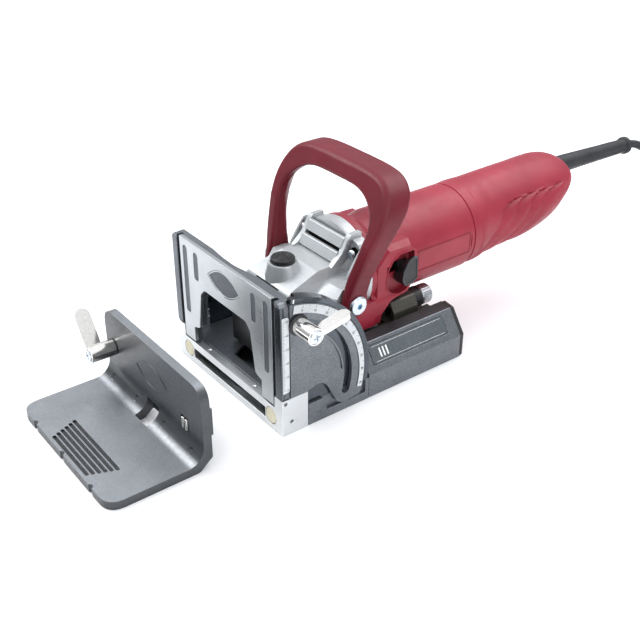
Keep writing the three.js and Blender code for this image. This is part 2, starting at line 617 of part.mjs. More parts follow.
function makeSpindleLock() {
  const cap = rod('z', [0, 48, 0], 83.4, 91.5, 8.5, 24);
  const pin = rod('z', [0, 42, 0], 70.4, 84, 2.2, 12);
  piece('spindle_lock_button', join(cap, pin), BLACK);
}

// ---- drive ----
// straight bevel wheel about +Z with its apex at the origin: teeth on a cone, cut off at two radii
function bevelWheel(teeth, pitchR, otherR, face, phase) {
  const cone = Math.hypot(pitchR, otherR);
  const inner = (cone - face) / cone;
  const module = (2 * pitchR) / teeth;
  const height = 0.7 * module;
  const half = (Math.PI / teeth) * 0.36; // tooth is thinner than its gap, which gives backlash
  const normal = new THREE.Vector2(otherR / cone, pitchR / cone);
  const at = (scale, lift, angle) => new THREE.Vector3(
    (pitchR * scale + normal.x * lift * scale) * Math.cos(angle),
    (pitchR * scale + normal.x * lift * scale) * Math.sin(angle),
    -otherR * scale + normal.y * lift * scale);
  let wheel = null;
  for (let i = 0; i < teeth; i++) {
    const middle = ((i + phase) * 2 * Math.PI) / teeth;
    const rings = [inner, 1].map((scale) => [
      at(scale, -height * 1.6, middle - half * 1.45), at(scale, height * 0.8, middle - half * 0.5),
      at(scale, height * 0.8, middle + half * 0.5), at(scale, -height * 1.6, middle + half * 1.45),
    ]);
    const tooth = loft(rings);
    wheel = wheel ? wheel.add(tooth) : tooth;
  }
  const root = -height * 1.3;
  const [a, b] = [at(inner, root, 0), at(1, root, 0)];
  const body = turned('z', [0, 0, 0], [
    [-otherR - 3.2, 0], [-otherR - 3.2, b.x], [b.z, b.x], [a.z, a.x], [a.z, 0],
  ], 2 * teeth);
  return wheel.add(body);
}

function makeDrive() {
  const pinionR = (GEAR_PITCH_R * PINION_TEETH) / GEAR_TEETH;
  const gear = bevelWheel(GEAR_TEETH, GEAR_PITCH_R, pinionR, 6, 0);
  const lockHoles = [0, 1, 2, 3].map((i) =>
    rod('z', [10 * Math.sin(i * Math.PI / 2), -10 * Math.cos(i * Math.PI / 2), 0], -20, 20, 3.2, 12));
  const bore = rod('z', [0, 0, 0], -30, 20, 6 + 0.05, 24);
  const gearSolid = cut(gear, bore, ...lockHoles).translate([0, CUTTER_BACK, MOTOR_Z]);
  piece('bevel_gear', gearSolid, STEEL);
  const spindle = turned('z', [0, CUTTER_BACK, 0], [
    [4.8, 0], [4.8, 9.5], [6.7, 9.5], [6.7, 5.7], [11.3, 5.7], [11.3, 13], [15, 13], [15, 7], [26.6, 7], [26.6, 6],
    [66, 6], [66, 0],
  ], 24);
  piece('spindle', spindle, STEEL);
  piece('cutter_disc', makeCutter(), STEEL);
  const pinion = bevelWheel(PINION_TEETH, pinionR, GEAR_PITCH_R, 6, 0.5);
  const pinionBore = rod('z', [0, 0, 0], -40, 10, 4.05, 24);
  // the pinion's axis lies along the motor: its back cone faces the motor
  const pinionSolid = cut(pinion, pinionBore).rotate([90, 0, 0]).translate([0, CUTTER_BACK, MOTOR_Z]);
  piece('pinion', pinionSolid, STEEL);
  const armature = turned('y', [0, 0, MOTOR_Z], [
    [60, 0], [60, 4], [142, 4], [142, 16.5], [176, 16.5], [176, 8], [186, 8], [186, 11], [197, 11], [197, 4],
    [210, 4], [210, 0],
  ], 24);
  piece('armature', armature, COPPER);
  piece('cooling_fan', makeFan(), BLACK);
}

function makeCutter() {
  const disc = rod('z', [0, CUTTER_BACK, 0], CUTTER_Z - 1.2, CUTTER_Z + 1.2, CUTTER_R - 4, 40);
  let cutter = disc;
  const toothCount = 6;
  for (let i = 0; i < toothCount; i++) {
    const tooth = alongZ([[-1.5, 41], [4.5, 41], [5.5, 44.5], [2.2, CUTTER_R - 0.4], [-2.2, CUTTER_R - 0.4]],
      CUTTER_Z - CUTTER_HALF, CUTTER_Z + CUTTER_HALF);
    cutter = cutter.add(tooth.rotate([0, 0, (i * 360) / toothCount + 30]).translate([0, CUTTER_BACK, 0]));
  }
  return cut(cutter, rod('z', [0, CUTTER_BACK, 0], 0, 20, 6, 24));
}

function makeFan() {
  const disc = ring('y', [0, 0, MOTOR_Z], 112, 113.6, 26, 4.05, 24);
  let fan = join(disc, ring('y', [0, 0, MOTOR_Z], 108, 113, 8, 4.05, 24));
  const bladeCount = 8;
  for (let i = 0; i < bladeCount; i++) {
    const blade = box(10, 25.5, 105, 112.5, -0.8, 0.8).rotate([0, (i * 360) / bladeCount, 0]);
    fan = fan.add(blade.translate([0, 0, MOTOR_Z]));
  }
  return fan;
}

// ---- depth stop ----
function makeDepthStop() {
  const centre = [DRUM_X, 0, DRUM_Z];
  let drum = ring('y', centre, DRUM_START, DRUM_START + 17.7, DRUM_R, 3, 24);
  // stepped face: six stops of different height around the axis; the lowest is uppermost at rest
  const stepCount = 6;
  for (let i = 1; i < stepCount; i++) {
    const step = box(STOP_R - 1.6, STOP_R + 1.6, DRUM_START - i * 1.1, DRUM_START + 1, -1.9, 1.9);
    drum = drum.add(step.rotate([0, (i * 360) / stepCount, 0]).translate(centre));
  }
  piece('depth_drum', drum, BLACK);
  const knurls = 16;
  const knobStart = DRUM_START + 18;
  let knob = rod('y', centre, knobStart, knobStart + 10, 7.6, 2 * knurls);
  for (let i = 0; i < knurls; i++) {
    const groove = box(-0.45, 0.45, knobStart + 1, knobStart + 9, 7, 9).rotate([0, (i * 360) / knurls, 0]);
    knob = knob.subtract(groove.translate(centre));
  }
  const stem = rod('y', centre, DRUM_START + 2, knobStart + 1, 3 - FIT, 16);
  piece('adjusting_ring', join(knob, stem), CHROME);
}

// ---- stop square ----
function makeStopSquare() {
  const side = [[SQUARE_FRONT, 0], [-62, 0], [SQUARE_BACK, 8], [SQUARE_BACK, SQUARE_H],
    [SQUARE_BACK - SQUARE_T, SQUARE_H], [SQUARE_BACK - SQUARE_T, 18], [-70, SQUARE_T], [SQUARE_FRONT, SQUARE_T]];
  const body = alongX(side, -SQUARE_HALF, SQUARE_HALF);
  const s = SQUARE_HALF;
  const plan = alongZ([
    [-s, -50], [-s, SQUARE_FRONT + 10], [-s + 3, SQUARE_FRONT + 3], [-s + 10, SQUARE_FRONT],
    [s - 10, SQUARE_FRONT], [s - 3, SQUARE_FRONT + 3], [s, SQUARE_FRONT + 10], [s, -50],
  ], -1, 70);
  const face = alongY([[-s, -1], [s, -1], [s, SQUARE_H - 5], [s - 5, SQUARE_H], [5 - s, SQUARE_H], [-s, SQUARE_H - 5]],
    -130, -40);
  const notches = [-40, 0, 40].map((x) => box(x - 2.5, x + 2.5, SQUARE_FRONT - 1, SQUARE_FRONT + 2.5, -1, 8));
  const sight = box(-8, 8, -69, -59.5, -1, 20);
  const leverHole = rod('y', [-52.8, 0, 33], -60, -50, 3.3, 16);
  const fixedJaw = box(56.1, 57.6, SQUARE_BACK - 0.5, SQUARE_BACK + 4.5, 20, 40);
  return cut(body.intersect(plan).intersect(face), ...notches, sight, leverHole).add(fixedJaw);
}

function makeStopSquareGroup() {
  piece('stop_square', makeStopSquare(), ANTHRACITE);
  const lever = makeLever(SQUARE_BACK * -1 + SQUARE_T + GAP, 78, 66.3, 32, 0)
    .add(rod('x', [0, 0, 0], 52.2, 60, 3, 16));
  // the lever is built along +X: turned so that the barrel points forward and the paddle up and to the left
  const forward = lever.rotate([0, 0, -90]);
  const upright = forward.rotate([0, -90 - 34, 0]);
  piece('stop_square_lever', upright.translate([-52.8, 0, 33]), CHROME);
  const jaw = box(-57.6, -56.1, SQUARE_BACK + GAP, SQUARE_BACK + 4.5, 22, 44);
  piece('clamp_jaw', jaw, STEEL);
}

// ---- mains lead ----
const cordRoute = [
  [0, 415.8, 86.1], [0.4, 426.4, 84.6], [1.6, 436.2, 80.5], [3.4, 444.7, 74], [5.2, 451.1, 65.3],
  [6.6, 455.2, 55.3], [8.1, 459.3, 45.3], [9.9, 465.7, 36.6], [11.9, 474.2, 30.1], [13.8, 484, 25.9],
  [15, 494, 24.5],
];
const tailRoute = [
  [109, 493.7, 3.6], [109, 485, 4.2], [109, 476, 7.4], [109, 467, 11.2], [109, 457.7, 13.3],
];
const PLUG_Z = 13.4;

function makeTube(route) {
  return tube(route.map(([x, y, z]) => new THREE.Vector3(x, y, z)), CORD_R, 10);
}

function makePlug() {
  const [x, back, front] = [109, 456.5, 417];
  const boot = turned('y', [x, 0, PLUG_Z], [[front + 20, 0], [front + 20, 9], [back, 5], [back, 0]], 16);
  const outline = [[-18, 6], [-12, 12.9], [12, 12.9], [18, 6], [18, -6], [12, -12.9], [-12, -12.9], [-18, -6]];
  const head = alongY(outline.map(([u, v]) => [x + u, PLUG_Z + v]), front, front + 24);
  const pins = [-9.5, 9.5].map((side) => turned('y', [x + side, 0, PLUG_Z], [
    [front - 19, 0], [front - 19, 1.6], [front - 17.5, 2.4], [front + 2, 2.4], [front + 2, 0],
  ], 12));
  return join(boot, head, ...pins);
}

function makeMainsLead() {
  piece('power_cord', makeTube(cordRoute), BLACK);
  const profile = [
    [0, COIL_MID_R - COIL_HALF], [0, COIL_MID_R + COIL_HALF], [COIL_H, COIL_MID_R + COIL_HALF],
    [COIL_H, COIL_MID_R - COIL_HALF], [0, COIL_MID_R - COIL_HALF],
  ];
  piece('cord_coil', turned('z', [COIL_X, COIL_Y, 0], profile, 36), BLACK);
  piece('cord_tail', makeTube(tailRoute), BLACK);
  piece('mains_plug', makePlug(), BLACK);
}

makeBase();
makeSwivelFront();
makeClampLever();
makeMotorUnit();
makeSwitch();
makeSpindleLock();
makeDrive();
makeDepthStop();
makeStopSquareGroup();
makeMainsLead();

export default group;
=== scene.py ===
"""Looks of the biscuit joiner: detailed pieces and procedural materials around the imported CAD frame.

Pieces are laid out in millimetres, like the CAD source: y = 0 is the working face, z = 0 the sole,
+X the right-hand side. place() turns a layout point into metres in the row frame.
"""

import json
import math

import bmesh
import bpy
from mathutils import Matrix, Quaternion, Vector

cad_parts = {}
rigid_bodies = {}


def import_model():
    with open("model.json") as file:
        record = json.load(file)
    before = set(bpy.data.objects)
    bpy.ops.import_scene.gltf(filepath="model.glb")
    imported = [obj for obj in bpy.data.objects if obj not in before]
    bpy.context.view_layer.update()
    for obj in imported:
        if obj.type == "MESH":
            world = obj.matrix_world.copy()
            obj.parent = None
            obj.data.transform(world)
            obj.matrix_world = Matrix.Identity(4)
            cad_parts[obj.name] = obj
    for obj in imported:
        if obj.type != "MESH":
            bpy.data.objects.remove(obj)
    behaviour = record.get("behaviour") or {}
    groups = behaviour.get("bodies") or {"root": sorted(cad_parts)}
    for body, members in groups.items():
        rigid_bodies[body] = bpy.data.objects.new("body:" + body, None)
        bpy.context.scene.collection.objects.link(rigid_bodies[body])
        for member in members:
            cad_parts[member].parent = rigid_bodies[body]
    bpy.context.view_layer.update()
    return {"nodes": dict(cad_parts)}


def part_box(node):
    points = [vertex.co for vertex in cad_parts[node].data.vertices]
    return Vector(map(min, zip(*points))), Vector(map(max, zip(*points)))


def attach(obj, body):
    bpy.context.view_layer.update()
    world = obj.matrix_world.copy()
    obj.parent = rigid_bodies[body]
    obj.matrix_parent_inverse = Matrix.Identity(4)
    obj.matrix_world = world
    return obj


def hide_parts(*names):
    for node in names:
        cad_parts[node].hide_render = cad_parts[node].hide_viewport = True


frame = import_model()

MM = 0.001
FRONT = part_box("front_frame")[0].y  # the working face in the row frame
HALF_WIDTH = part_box("front_frame")[1].x / MM
MOTOR_Z = 70.5
MOTOR_R = 32.7
PIVOT_Z = 31.0  # swivel axis, on the line of the working face
BOLT_Y, BOLT_Z = 12.2, 82.6  # clamp bolt
DRUM_X, DRUM_Z = 25.0, 36.5
SCREW_Y, SCREW_Z = 74.0, 66.5  # screws of the bow handle
LEFT_BOLT_Y, LEFT_BOLT_Z = 11.11, 67.34
SEAM = 201.0  # between motor housing and rear grip
CORD_R = 3.5
SIDES = ((1, "right"), (-1, "left"))


def place(x, y, z):
    return Vector((x * MM, FRONT + y * MM, z * MM))


# ---------------------------------------------------------------- camera, floor and light

def make_camera():
    data = bpy.data.cameras.new("camera")
    camera = bpy.data.objects.new("camera", data)
    bpy.context.scene.collection.objects.link(camera)
    azimuth, elevation, roll = (math.radians(a) for a in (52.53, 31.09, 0.20))
    back = Vector((math.sin(azimuth) * math.cos(elevation), -math.cos(azimuth) * math.cos(elevation),
                   math.sin(elevation)))
    camera.rotation_mode = "QUATERNION"
    camera.rotation_quaternion = back.to_track_quat("Z", "Y") @ Quaternion((0, 0, 1), roll)
    camera.location = (0.48735, -0.34549, 0.39959)
    data.sensor_width = 36
    data.lens = 55.53
    data.clip_start, data.clip_end = 0.01, 50
    bpy.context.scene.camera = camera


def make_light(name, location, target, size, watts, tint=(1, 1, 1)):
    data = bpy.data.lights.new(name, "AREA")
    data.shape = "RECTANGLE"
    data.size, data.size_y = size
    data.energy = watts
    data.color = tint
    light = bpy.data.objects.new(name, data)
    light.location = location
    light.rotation_mode = "QUATERNION"
    light.rotation_quaternion = (Vector(location) - Vector(target)).to_track_quat("Z", "Y")
    bpy.context.scene.collection.objects.link(light)


def make_lights():
    """surroundings that get brighter towards the top, and three soft lamps"""
    world = bpy.data.worlds.new("studio")
    world.use_nodes = True
    nodes, links = world.node_tree.nodes, world.node_tree.links
    background = nodes["Background"]
    background.inputs["Color"].default_value = (0.94, 0.96, 1.0, 1)
    where = nodes.new("ShaderNodeTexCoord")
    split = nodes.new("ShaderNodeSeparateXYZ")
    rise = nodes.new("ShaderNodeMapRange")
    for name, value in (("From Min", -0.1), ("From Max", 0.75), ("To Min", 0.15), ("To Max", 1.3)):
        rise.inputs[name].default_value = value
    links.new(where.outputs["Generated"], split.inputs["Vector"])
    links.new(split.outputs["Z"], rise.inputs["Value"])
    # seen directly, the backdrop is as white as the floor
    seen = nodes.new("ShaderNodeMath")
    seen.operation = "MAXIMUM"
    links.new(rise.outputs["Result"], seen.inputs[0])
    links.new(nodes.new("ShaderNodeLightPath").outputs["Is Camera Ray"], seen.inputs[1])
    links.new(seen.outputs["Value"], background.inputs["Strength"])
    bpy.context.scene.world = world
    bpy.context.scene.view_settings.view_transform = "Standard"
    middle = (0, 0.05, 0.06)
    make_light("key_left", (-0.9, -0.5, 1.3), middle, (0.9, 0.9), 17)
    make_light("top_back", (0.1, 0.9, 1.3), middle, (1.4, 0.7), 11)
    make_light("fill_right", (1.2, -0.1, 0.55), middle, (0.5, 0.8), 4)


# ---------------------------------------------------------------- shapes, in layout millimetres

class Shape:
    """Points in layout millimetres and the faces between them."""

    def __init__(self, points=(), faces=()):
        self.points = [Vector(p) for p in points]
        self.faces = [list(face) for face in faces]

    def __add__(self, other):
        first = len(self.points)
        moved = [[first + i for i in face] for face in other.faces]
        return Shape(self.points + other.points, self.faces + moved)

    def bent(self, change):
        """every point replaced by change(point)"""
        return Shape([change(p) for p in self.points], self.faces)

    def turned(self, axis, degrees, centre=(0, 0, 0)):
        turn = Matrix.Rotation(math.radians(degrees), 3, axis)
        centre = Vector(centre)
        return self.bent(lambda p: turn @ (p - centre) + centre)

    def moved(self, x, y, z):
        step = Vector((x, y, z))
        return self.bent(lambda p: p + step)

    def mirrored(self):
        return self.bent(lambda p: Vector((-p.x, p.y, p.z)))


def total(shapes):
    whole = Shape()
    for shape in shapes:
        whole = whole + shape
    return whole


def put(axis, u, v, along):
    """outline (u, v) is (y, z) along x, (x, z) along y, and (x, y) along z"""
    return {"X": (along, u, v), "Y": (u, along, v), "Z": (u, v, along)}[axis]


def prism(axis, outline, start, end):
    count = len(outline)
    points = [put(axis, u, v, along) for along in (start, end) for u, v in outline]
    sides = [[i, (i + 1) % count, count + (i + 1) % count, count + i] for i in range(count)]
    caps = [list(range(count)), list(range(count, 2 * count))]
    return Shape(points, sides + caps)


def block(x0, x1, y0, y1, z0, z1):
    return prism("Z", [(x0, y0), (x1, y0), (x1, y1), (x0, y1)], z0, z1)


def skin(rings, closed_ends=True, loop=False):
    """faces through rings of points, each ring a closed line of the same count"""
    count = len(rings[0])
    points = [p for ring in rings for p in ring]
    last = len(rings) if loop else len(rings) - 1
    faces = []
    for r in range(last):
        a, b = r * count, ((r + 1) % len(rings)) * count
        faces += [[a + i, a + (i + 1) % count, b + (i + 1) % count, b + i] for i in range(count)]
    if closed_ends and not loop:
        faces += [list(range(count)), list(range(len(points) - count, len(points)))]
    return Shape(points, faces)


def lathe(axis, centre, profile, steps=48, loop=False):
    """profile of (distance along the axis, radius) from the centre point"""
    rings = []
    for along, radius in profile:
        ring = []
        for i in range(steps):
            angle = 2 * math.pi * i / steps
            offset = put(axis, radius * math.cos(angle), radius * math.sin(angle), along)
            ring.append(Vector(centre) + Vector(offset))
        rings.append(ring)
    return skin(rings, loop=loop)


def rounded(outline, radius, steps=5, closed=True):
    """the outline with its corners turned into arcs; radius is one number or one for each corner"""
    radii = radius if isinstance(radius, (list, tuple)) else [radius] * len(outline)
    made = []
    for i, corner in enumerate(outline):
        here = Vector(corner)
        if radii[i] <= 0 or (not closed and i in (0, len(outline) - 1)):
            made.append(tuple(here))
            continue
        before = Vector(outline[i - 1]) - here
        after = Vector(outline[(i + 1) % len(outline)]) - here
        half = before.angle(after) / 2
        reach = min(radii[i] / math.tan(half), 0.48 * before.length, 0.48 * after.length)
        start, end = here + before.normalized() * reach, here + after.normalized() * reach
        for step in range(steps + 1):
            t = step / steps
            # a quadratic curve stands for the arc: the corner is its control point
            made.append(tuple(start * (1 - t) ** 2 + here * 2 * t * (1 - t) + end * t * t))
    return made


def on_arc(radius, degrees):
    """point of the swivel plane; angles from upright towards the back"""
    angle = math.radians(degrees)
    return (radius * math.sin(angle), PIVOT_Z + radius * math.cos(angle))


def arc(radius, start, end, steps):
    return [on_arc(radius, start + (end - start) * i / steps) for i in range(steps + 1)]


def circle(u, v, radius, steps=32):
    angles = [2 * math.pi * i / steps for i in range(steps)]
    return [(u + radius * math.cos(a), v + radius * math.sin(a)) for a in angles]


def slot_outline(u, v0, v1, half, steps=10):
    """upright slot with round ends"""
    top = [(u + half * math.cos(a), v1 - half + half * math.sin(a))
           for a in (math.pi * i / steps for i in range(steps + 1))]
    bottom = [(u - half * math.cos(a), v0 + half - half * math.sin(a))
              for a in (math.pi * i / steps for i in range(steps + 1))]
    return top + bottom


def lens_outline(u, v, half_length, half_height, steps=20):
    """pointed oval"""
    points = []
    for side in (1, -1):
        for i in range(steps):
            t = 1 - 2 * i / steps
            points.append((u + side * t * half_length, v + side * half_height * (1 - t * t)))
    return points


def curve_through(points, steps):
    """smooth line through the points, steps pieces between each two"""
    points = [Vector(p) for p in points]
    padded = [2 * points[0] - points[1]] + points + [2 * points[-1] - points[-2]]
    made = []
    for i in range(1, len(padded) - 2):
        a, b, c, d = padded[i - 1:i + 3]
        for step in range(steps):
            t = step / steps
            made.append(0.5 * (2 * b + (c - a) * t + (2 * a - 5 * b + 4 * c - d) * t * t
                               + (3 * b - a - 3 * c + d) * t ** 3))
    return made + [points[-1]]


def smooth_step(value, low, high):
    t = min(max((value - low) / (high - low), 0.0), 1.0)
    return t * t * (3 - 2 * t)


# ---------------------------------------------------------------- shapes to Blender objects

def tidy_mesh(mesh, flat_degrees=0.5):
    """joins doubled points, dissolves flat seams and turns the faces outwards"""
    work = bmesh.new()
    work.from_mesh(mesh)
    bmesh.ops.remove_doubles(work, verts=work.verts, dist=2e-6)
    bmesh.ops.dissolve_degenerate(work, edges=work.edges, dist=2e-6)
    if flat_degrees:
        bmesh.ops.dissolve_limit(work, angle_limit=math.radians(flat_degrees), verts=work.verts,
                                 edges=work.edges, delimit={"NORMAL"})
    bmesh.ops.recalc_face_normals(work, faces=work.faces)
    work.to_mesh(mesh)
    work.free()
    return mesh


def mesh_of(shape, name="shape"):
    mesh = bpy.data.meshes.new(name)
    mesh.from_pydata([place(*p) for p in shape.points], [], shape.faces)
    return tidy_mesh(mesh, flat_degrees=0)


def baked(solid, tools, operation="DIFFERENCE"):
    """mesh of the solid after each tool's boolean"""
    scene = bpy.context.scene.collection.objects
    body = bpy.data.objects.new("solid", solid)
    scene.link(body)
    helpers = []
    for tool in tools:
        helper = bpy.data.objects.new("tool", tool)
        scene.link(helper)
        helpers.append(helper)
        step = body.modifiers.new("cut", "BOOLEAN")
        step.operation = operation
        step.solver = "EXACT"
        step.object = helper
    bpy.context.view_layer.update()
    evaluated = body.evaluated_get(bpy.context.evaluated_depsgraph_get())
    made = bpy.data.meshes.new_from_object(evaluated)
    for helper in [body, *helpers]:
        bpy.data.objects.remove(helper)
    return made


def as_mesh(solid):
    return mesh_of(solid) if isinstance(solid, Shape) else solid


def cut(solid, *tools):
    return tidy_mesh(baked(as_mesh(solid), [as_mesh(t) for t in tools]))


def join(solid, *others):
    return tidy_mesh(baked(as_mesh(solid), [as_mesh(o) for o in others], "UNION"))


def common(solid, *tools):
    return tidy_mesh(baked(as_mesh(solid), [as_mesh(t) for t in tools], "INTERSECT"))


def shift(x, y, z):
    return Matrix.Translation(Vector((x, y, z)) * MM)


def moved_mesh(mesh, move):
    """moves a mesh that was made about the layout's origin"""
    home = Matrix.Translation((0, FRONT, 0))
    mesh.transform(home @ move @ home.inverted())
    return mesh


def flipped(mesh):
    """the mesh mirrored to the other side of the machine"""
    mesh.transform(Matrix.Scale(-1, 4, (1, 0, 0)))
    return tidy_mesh(mesh)


def raised_rim(outer, inner, top, bottom, axis="Y"):
    """ring between two outlines, from its top to its bottom along the axis"""
    rings = [[put(axis, u, v, along) for u, v in outline]
             for along, outline in ((top, outer), (top, inner), (bottom, inner), (bottom, outer))]
    return skin(rings, loop=True)


def cad_mesh(node):
    """a copy of a CAD node's mesh with its flat faces whole"""
    copy = frame["nodes"][node].data.copy()
    copy.materials.clear()
    for name in [a.name for a in copy.attributes if a.name in ("sharp_edge", "custom_normal")]:
        copy.attributes.remove(copy.attributes[name])
    return tidy_mesh(copy)


def piece(name, solid, material, body, replaces=(), bevel=0.0, segments=2, corner=30):
    """a shown object that rides on a CAD body; bevel is in mm"""
    mesh = as_mesh(solid)
    mesh.name = name
    mesh.materials.clear()
    mesh.materials.append(material)
    mesh.shade_smooth()
    made = bpy.data.objects.new(name, mesh)
    bpy.context.scene.collection.objects.link(made)
    if bevel:
        edge = made.modifiers.new("edges", "BEVEL")
        edge.width = bevel * MM
        edge.segments = segments
        edge.limit_method = "ANGLE"
        edge.angle_limit = math.radians(corner)
        edge.use_clamp_overlap = True
    else:
        mesh.set_sharp_from_angle(angle=math.radians(corner))
    normals = made.modifiers.new("flat_faces", "WEIGHTED_NORMAL")
    normals.weight = 80
    normals.keep_sharp = not bevel
    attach(made, body)
    if replaces:
        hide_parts(*([replaces] if isinstance(replaces, str) else replaces))
    return made


def text_shape(text, size, thickness=0.05):
    """digits as a flat mesh in the (x, z) plane, centred, in layout mm"""
    data = bpy.data.curves.new("digits", "FONT")
    data.body = text
    data.size = size
    data.align_x, data.align_y = "CENTER", "CENTER"
    data.extrude = thickness / 2
    data.resolution_u = 3
    holder = bpy.data.objects.new("digits", data)
    bpy.context.scene.collection.objects.link(holder)
    bpy.context.view_layer.update()
    mesh = bpy.data.meshes.new_from_object(holder.evaluated_get(bpy.context.evaluated_depsgraph_get()))
    bpy.data.objects.remove(holder)
    points = [(v.co.x, v.co.z, v.co.y) for v in mesh.vertices]
    return Shape(points, [list(p.vertices) for p in mesh.polygons])


# ---------------------------------------------------------------- materials

def linear(hex_colour):
    """RGB of a screen colour, as the shader wants it"""
    channels = [(hex_colour >> shift & 255) / 255 for shift in (16, 8, 0)]
    return [c / 12.92 if c < 0.04045 else ((c + 0.055) / 1.055) ** 2.4 for c in channels] + [1.0]


class Recipe:
    """Builds one node material. Sizes of patterns are in mm on the object."""

    def __init__(self, name, metallic=0.0, coat=0.0, specular=0.5):
        self.material = bpy.data.materials.new(name)
        self.material.use_nodes = True
        self.nodes = self.material.node_tree.nodes
        self.shader = self.nodes["Principled BSDF"]
        self.shader.inputs["Metallic"].default_value = metallic
        self.shader.inputs["Coat Weight"].default_value = coat
        self.shader.inputs["Coat Roughness"].default_value = 0.15
        self.shader.inputs["Specular IOR Level"].default_value = specular
        coordinates = self.nodes.new("ShaderNodeTexCoord")
        self.place = coordinates.outputs["Object"]
        self.facing = coordinates.outputs["Normal"]
        self.heights = None

    def link(self, source, target):
        self.material.node_tree.links.new(source, target)

    def stretched(self, stretch):
        mapping = self.nodes.new("ShaderNodeMapping")
        mapping.inputs["Scale"].default_value = stretch
        self.link(self.place, mapping.inputs["Vector"])
        return mapping.outputs["Vector"]

    def noise(self, size, detail=3.0, stretch=(1, 1, 1)):
        node = self.nodes.new("ShaderNodeTexNoise")
        node.inputs["Scale"].default_value = 1 / (size * MM)
        node.inputs["Detail"].default_value = detail
        self.link(self.stretched(stretch), node.inputs["Vector"])
        return node.outputs["Fac"]

    def cells(self, size, output="Color"):
        node = self.nodes.new("ShaderNodeTexVoronoi")
        node.inputs["Scale"].default_value = 1 / (size * MM)
        self.link(self.stretched((1, 1, 1)), node.inputs["Vector"])
        return node.outputs[output]

    def spread(self, source, low, high, start=0.3, end=0.7):
        node = self.nodes.new("ShaderNodeMapRange")
        self.link(source, node.inputs["Value"])
        for name, value in (("From Min", start), ("From Max", end), ("To Min", low), ("To Max", high)):
            node.inputs[name].default_value = value
        return node.outputs["Result"]

    def shades(self, source, stops):
        """colour from a pattern: stops of (where from 0 to 1, screen colour)"""
        node = self.nodes.new("ShaderNodeValToRGB")
        ramp = node.color_ramp
        ramp.elements[0].position, ramp.elements[0].color = stops[0][0], linear(stops[0][1])
        ramp.elements[1].position, ramp.elements[1].color = stops[-1][0], linear(stops[-1][1])
        for where, colour in stops[1:-1]:
            ramp.elements.new(where).color = linear(colour)
        self.link(source, node.inputs["Fac"])
        return node.outputs["Color"]

    def mixed(self, factor, first, second, blend="MIX"):
        node = self.nodes.new("ShaderNodeMix")
        node.data_type = "RGBA"
        node.blend_type = blend
        if isinstance(factor, float):
            node.inputs[0].default_value = factor
        else:
            self.link(factor, node.inputs[0])
        self.link(first, node.inputs[6])
        self.link(second, node.inputs[7])
        return node.outputs[2]

    def shaded_sides(self, source, share):
        """painted light and shade: the full colour on faces that look up, and that share of it on upright
        ones
        """
        split = self.nodes.new("ShaderNodeSeparateXYZ")
        self.link(self.facing, split.inputs["Vector"])
        # painted shade level from the facing: 1 on faces that look up, the share on upright ones
        painted_shade_level = self.spread(split.outputs["Z"], share, 1.0, 0.8, 0.98)
        grey = self.nodes.new("ShaderNodeCombineColor")
        for channel in ("Red", "Green", "Blue"):
            self.link(painted_shade_level, grey.inputs[channel])
        return self.mixed(1.0, source, grey.outputs["Color"], "MULTIPLY")

    def colour(self, source):
        self.link(source, self.shader.inputs["Base Color"])

    def roughness(self, source):
        self.link(source, self.shader.inputs["Roughness"])

    def bump(self, source, depth, strength=0.5):
        """depth in mm; several bumps chain up"""
        node = self.nodes.new("ShaderNodeBump")
        node.inputs["Strength"].default_value = strength
        node.inputs["Distance"].default_value = depth * MM
        self.link(source, node.inputs["Height"])
        if self.heights:
            self.link(self.heights, node.inputs["Normal"])
        self.heights = node.outputs["Normal"]
        self.link(self.heights, self.shader.inputs["Normal"])


def moulded(name, dark, light, rough=(0.36, 0.5), grain=0.35, depth=0.02, specular=0.5, cloud=30):
    """moulded plastic: soft clouds of colour, fine spark-eroded grain"""
    recipe = Recipe(name, specular=specular)
    recipe.colour(recipe.shades(recipe.noise(cloud, 4), [(0.3, dark), (0.7, light)]))
    recipe.roughness(recipe.spread(recipe.noise(6, 5), *rough))
    recipe.bump(recipe.noise(grain, 2), depth)
    return recipe.material


def painted_casting(name, dark, middle, light, metallic, rough, speck=0.35, depth=0.05, upright_painted_shade=1.0):
    """metallic paint over a casting: bright and dark flakes over slow clouds, orange-peel bump; below 1,
    the last argument paints shade on the faces that don't look up, keeping that share of their colour"""
    recipe = Recipe(name, metallic=metallic, coat=0.12)
    flakes = recipe.shades(recipe.cells(speck), [(0.15, dark), (0.5, middle), (0.92, light)])
    clouds = recipe.shades(recipe.noise(18, 5), [(0.3, dark), (0.7, middle)])
    paint = recipe.mixed(0.55, flakes, clouds)
    # painted shade: faces that don't look up are darkened by how they face, as if less lit
    if upright_painted_shade < 1:
        paint = recipe.shaded_sides(paint, upright_painted_shade)
    recipe.colour(paint)
    recipe.roughness(recipe.spread(recipe.noise(2.5, 5), *rough))
    recipe.bump(recipe.noise(speck * 2.2, 4), depth)
    recipe.bump(recipe.noise(speck * 0.7, 2), depth * 0.5, 0.35)
    return recipe.material


def brushed(name, dark, light, stretch, rough=(0.24, 0.4), depth=0.01):
    """metal with fine parallel tool marks; the pattern is long where stretch is small"""
    recipe = Recipe(name, metallic=1.0)
    marks = recipe.noise(0.5, 4, stretch)
    recipe.colour(recipe.mixed(0.5, recipe.shades(marks, [(0.3, dark), (0.7, light)]),
                               recipe.shades(recipe.noise(25, 4), [(0.3, dark), (0.7, light)])))
    recipe.roughness(recipe.spread(marks, *rough))
    recipe.bump(marks, depth, 0.4)
    return recipe.material


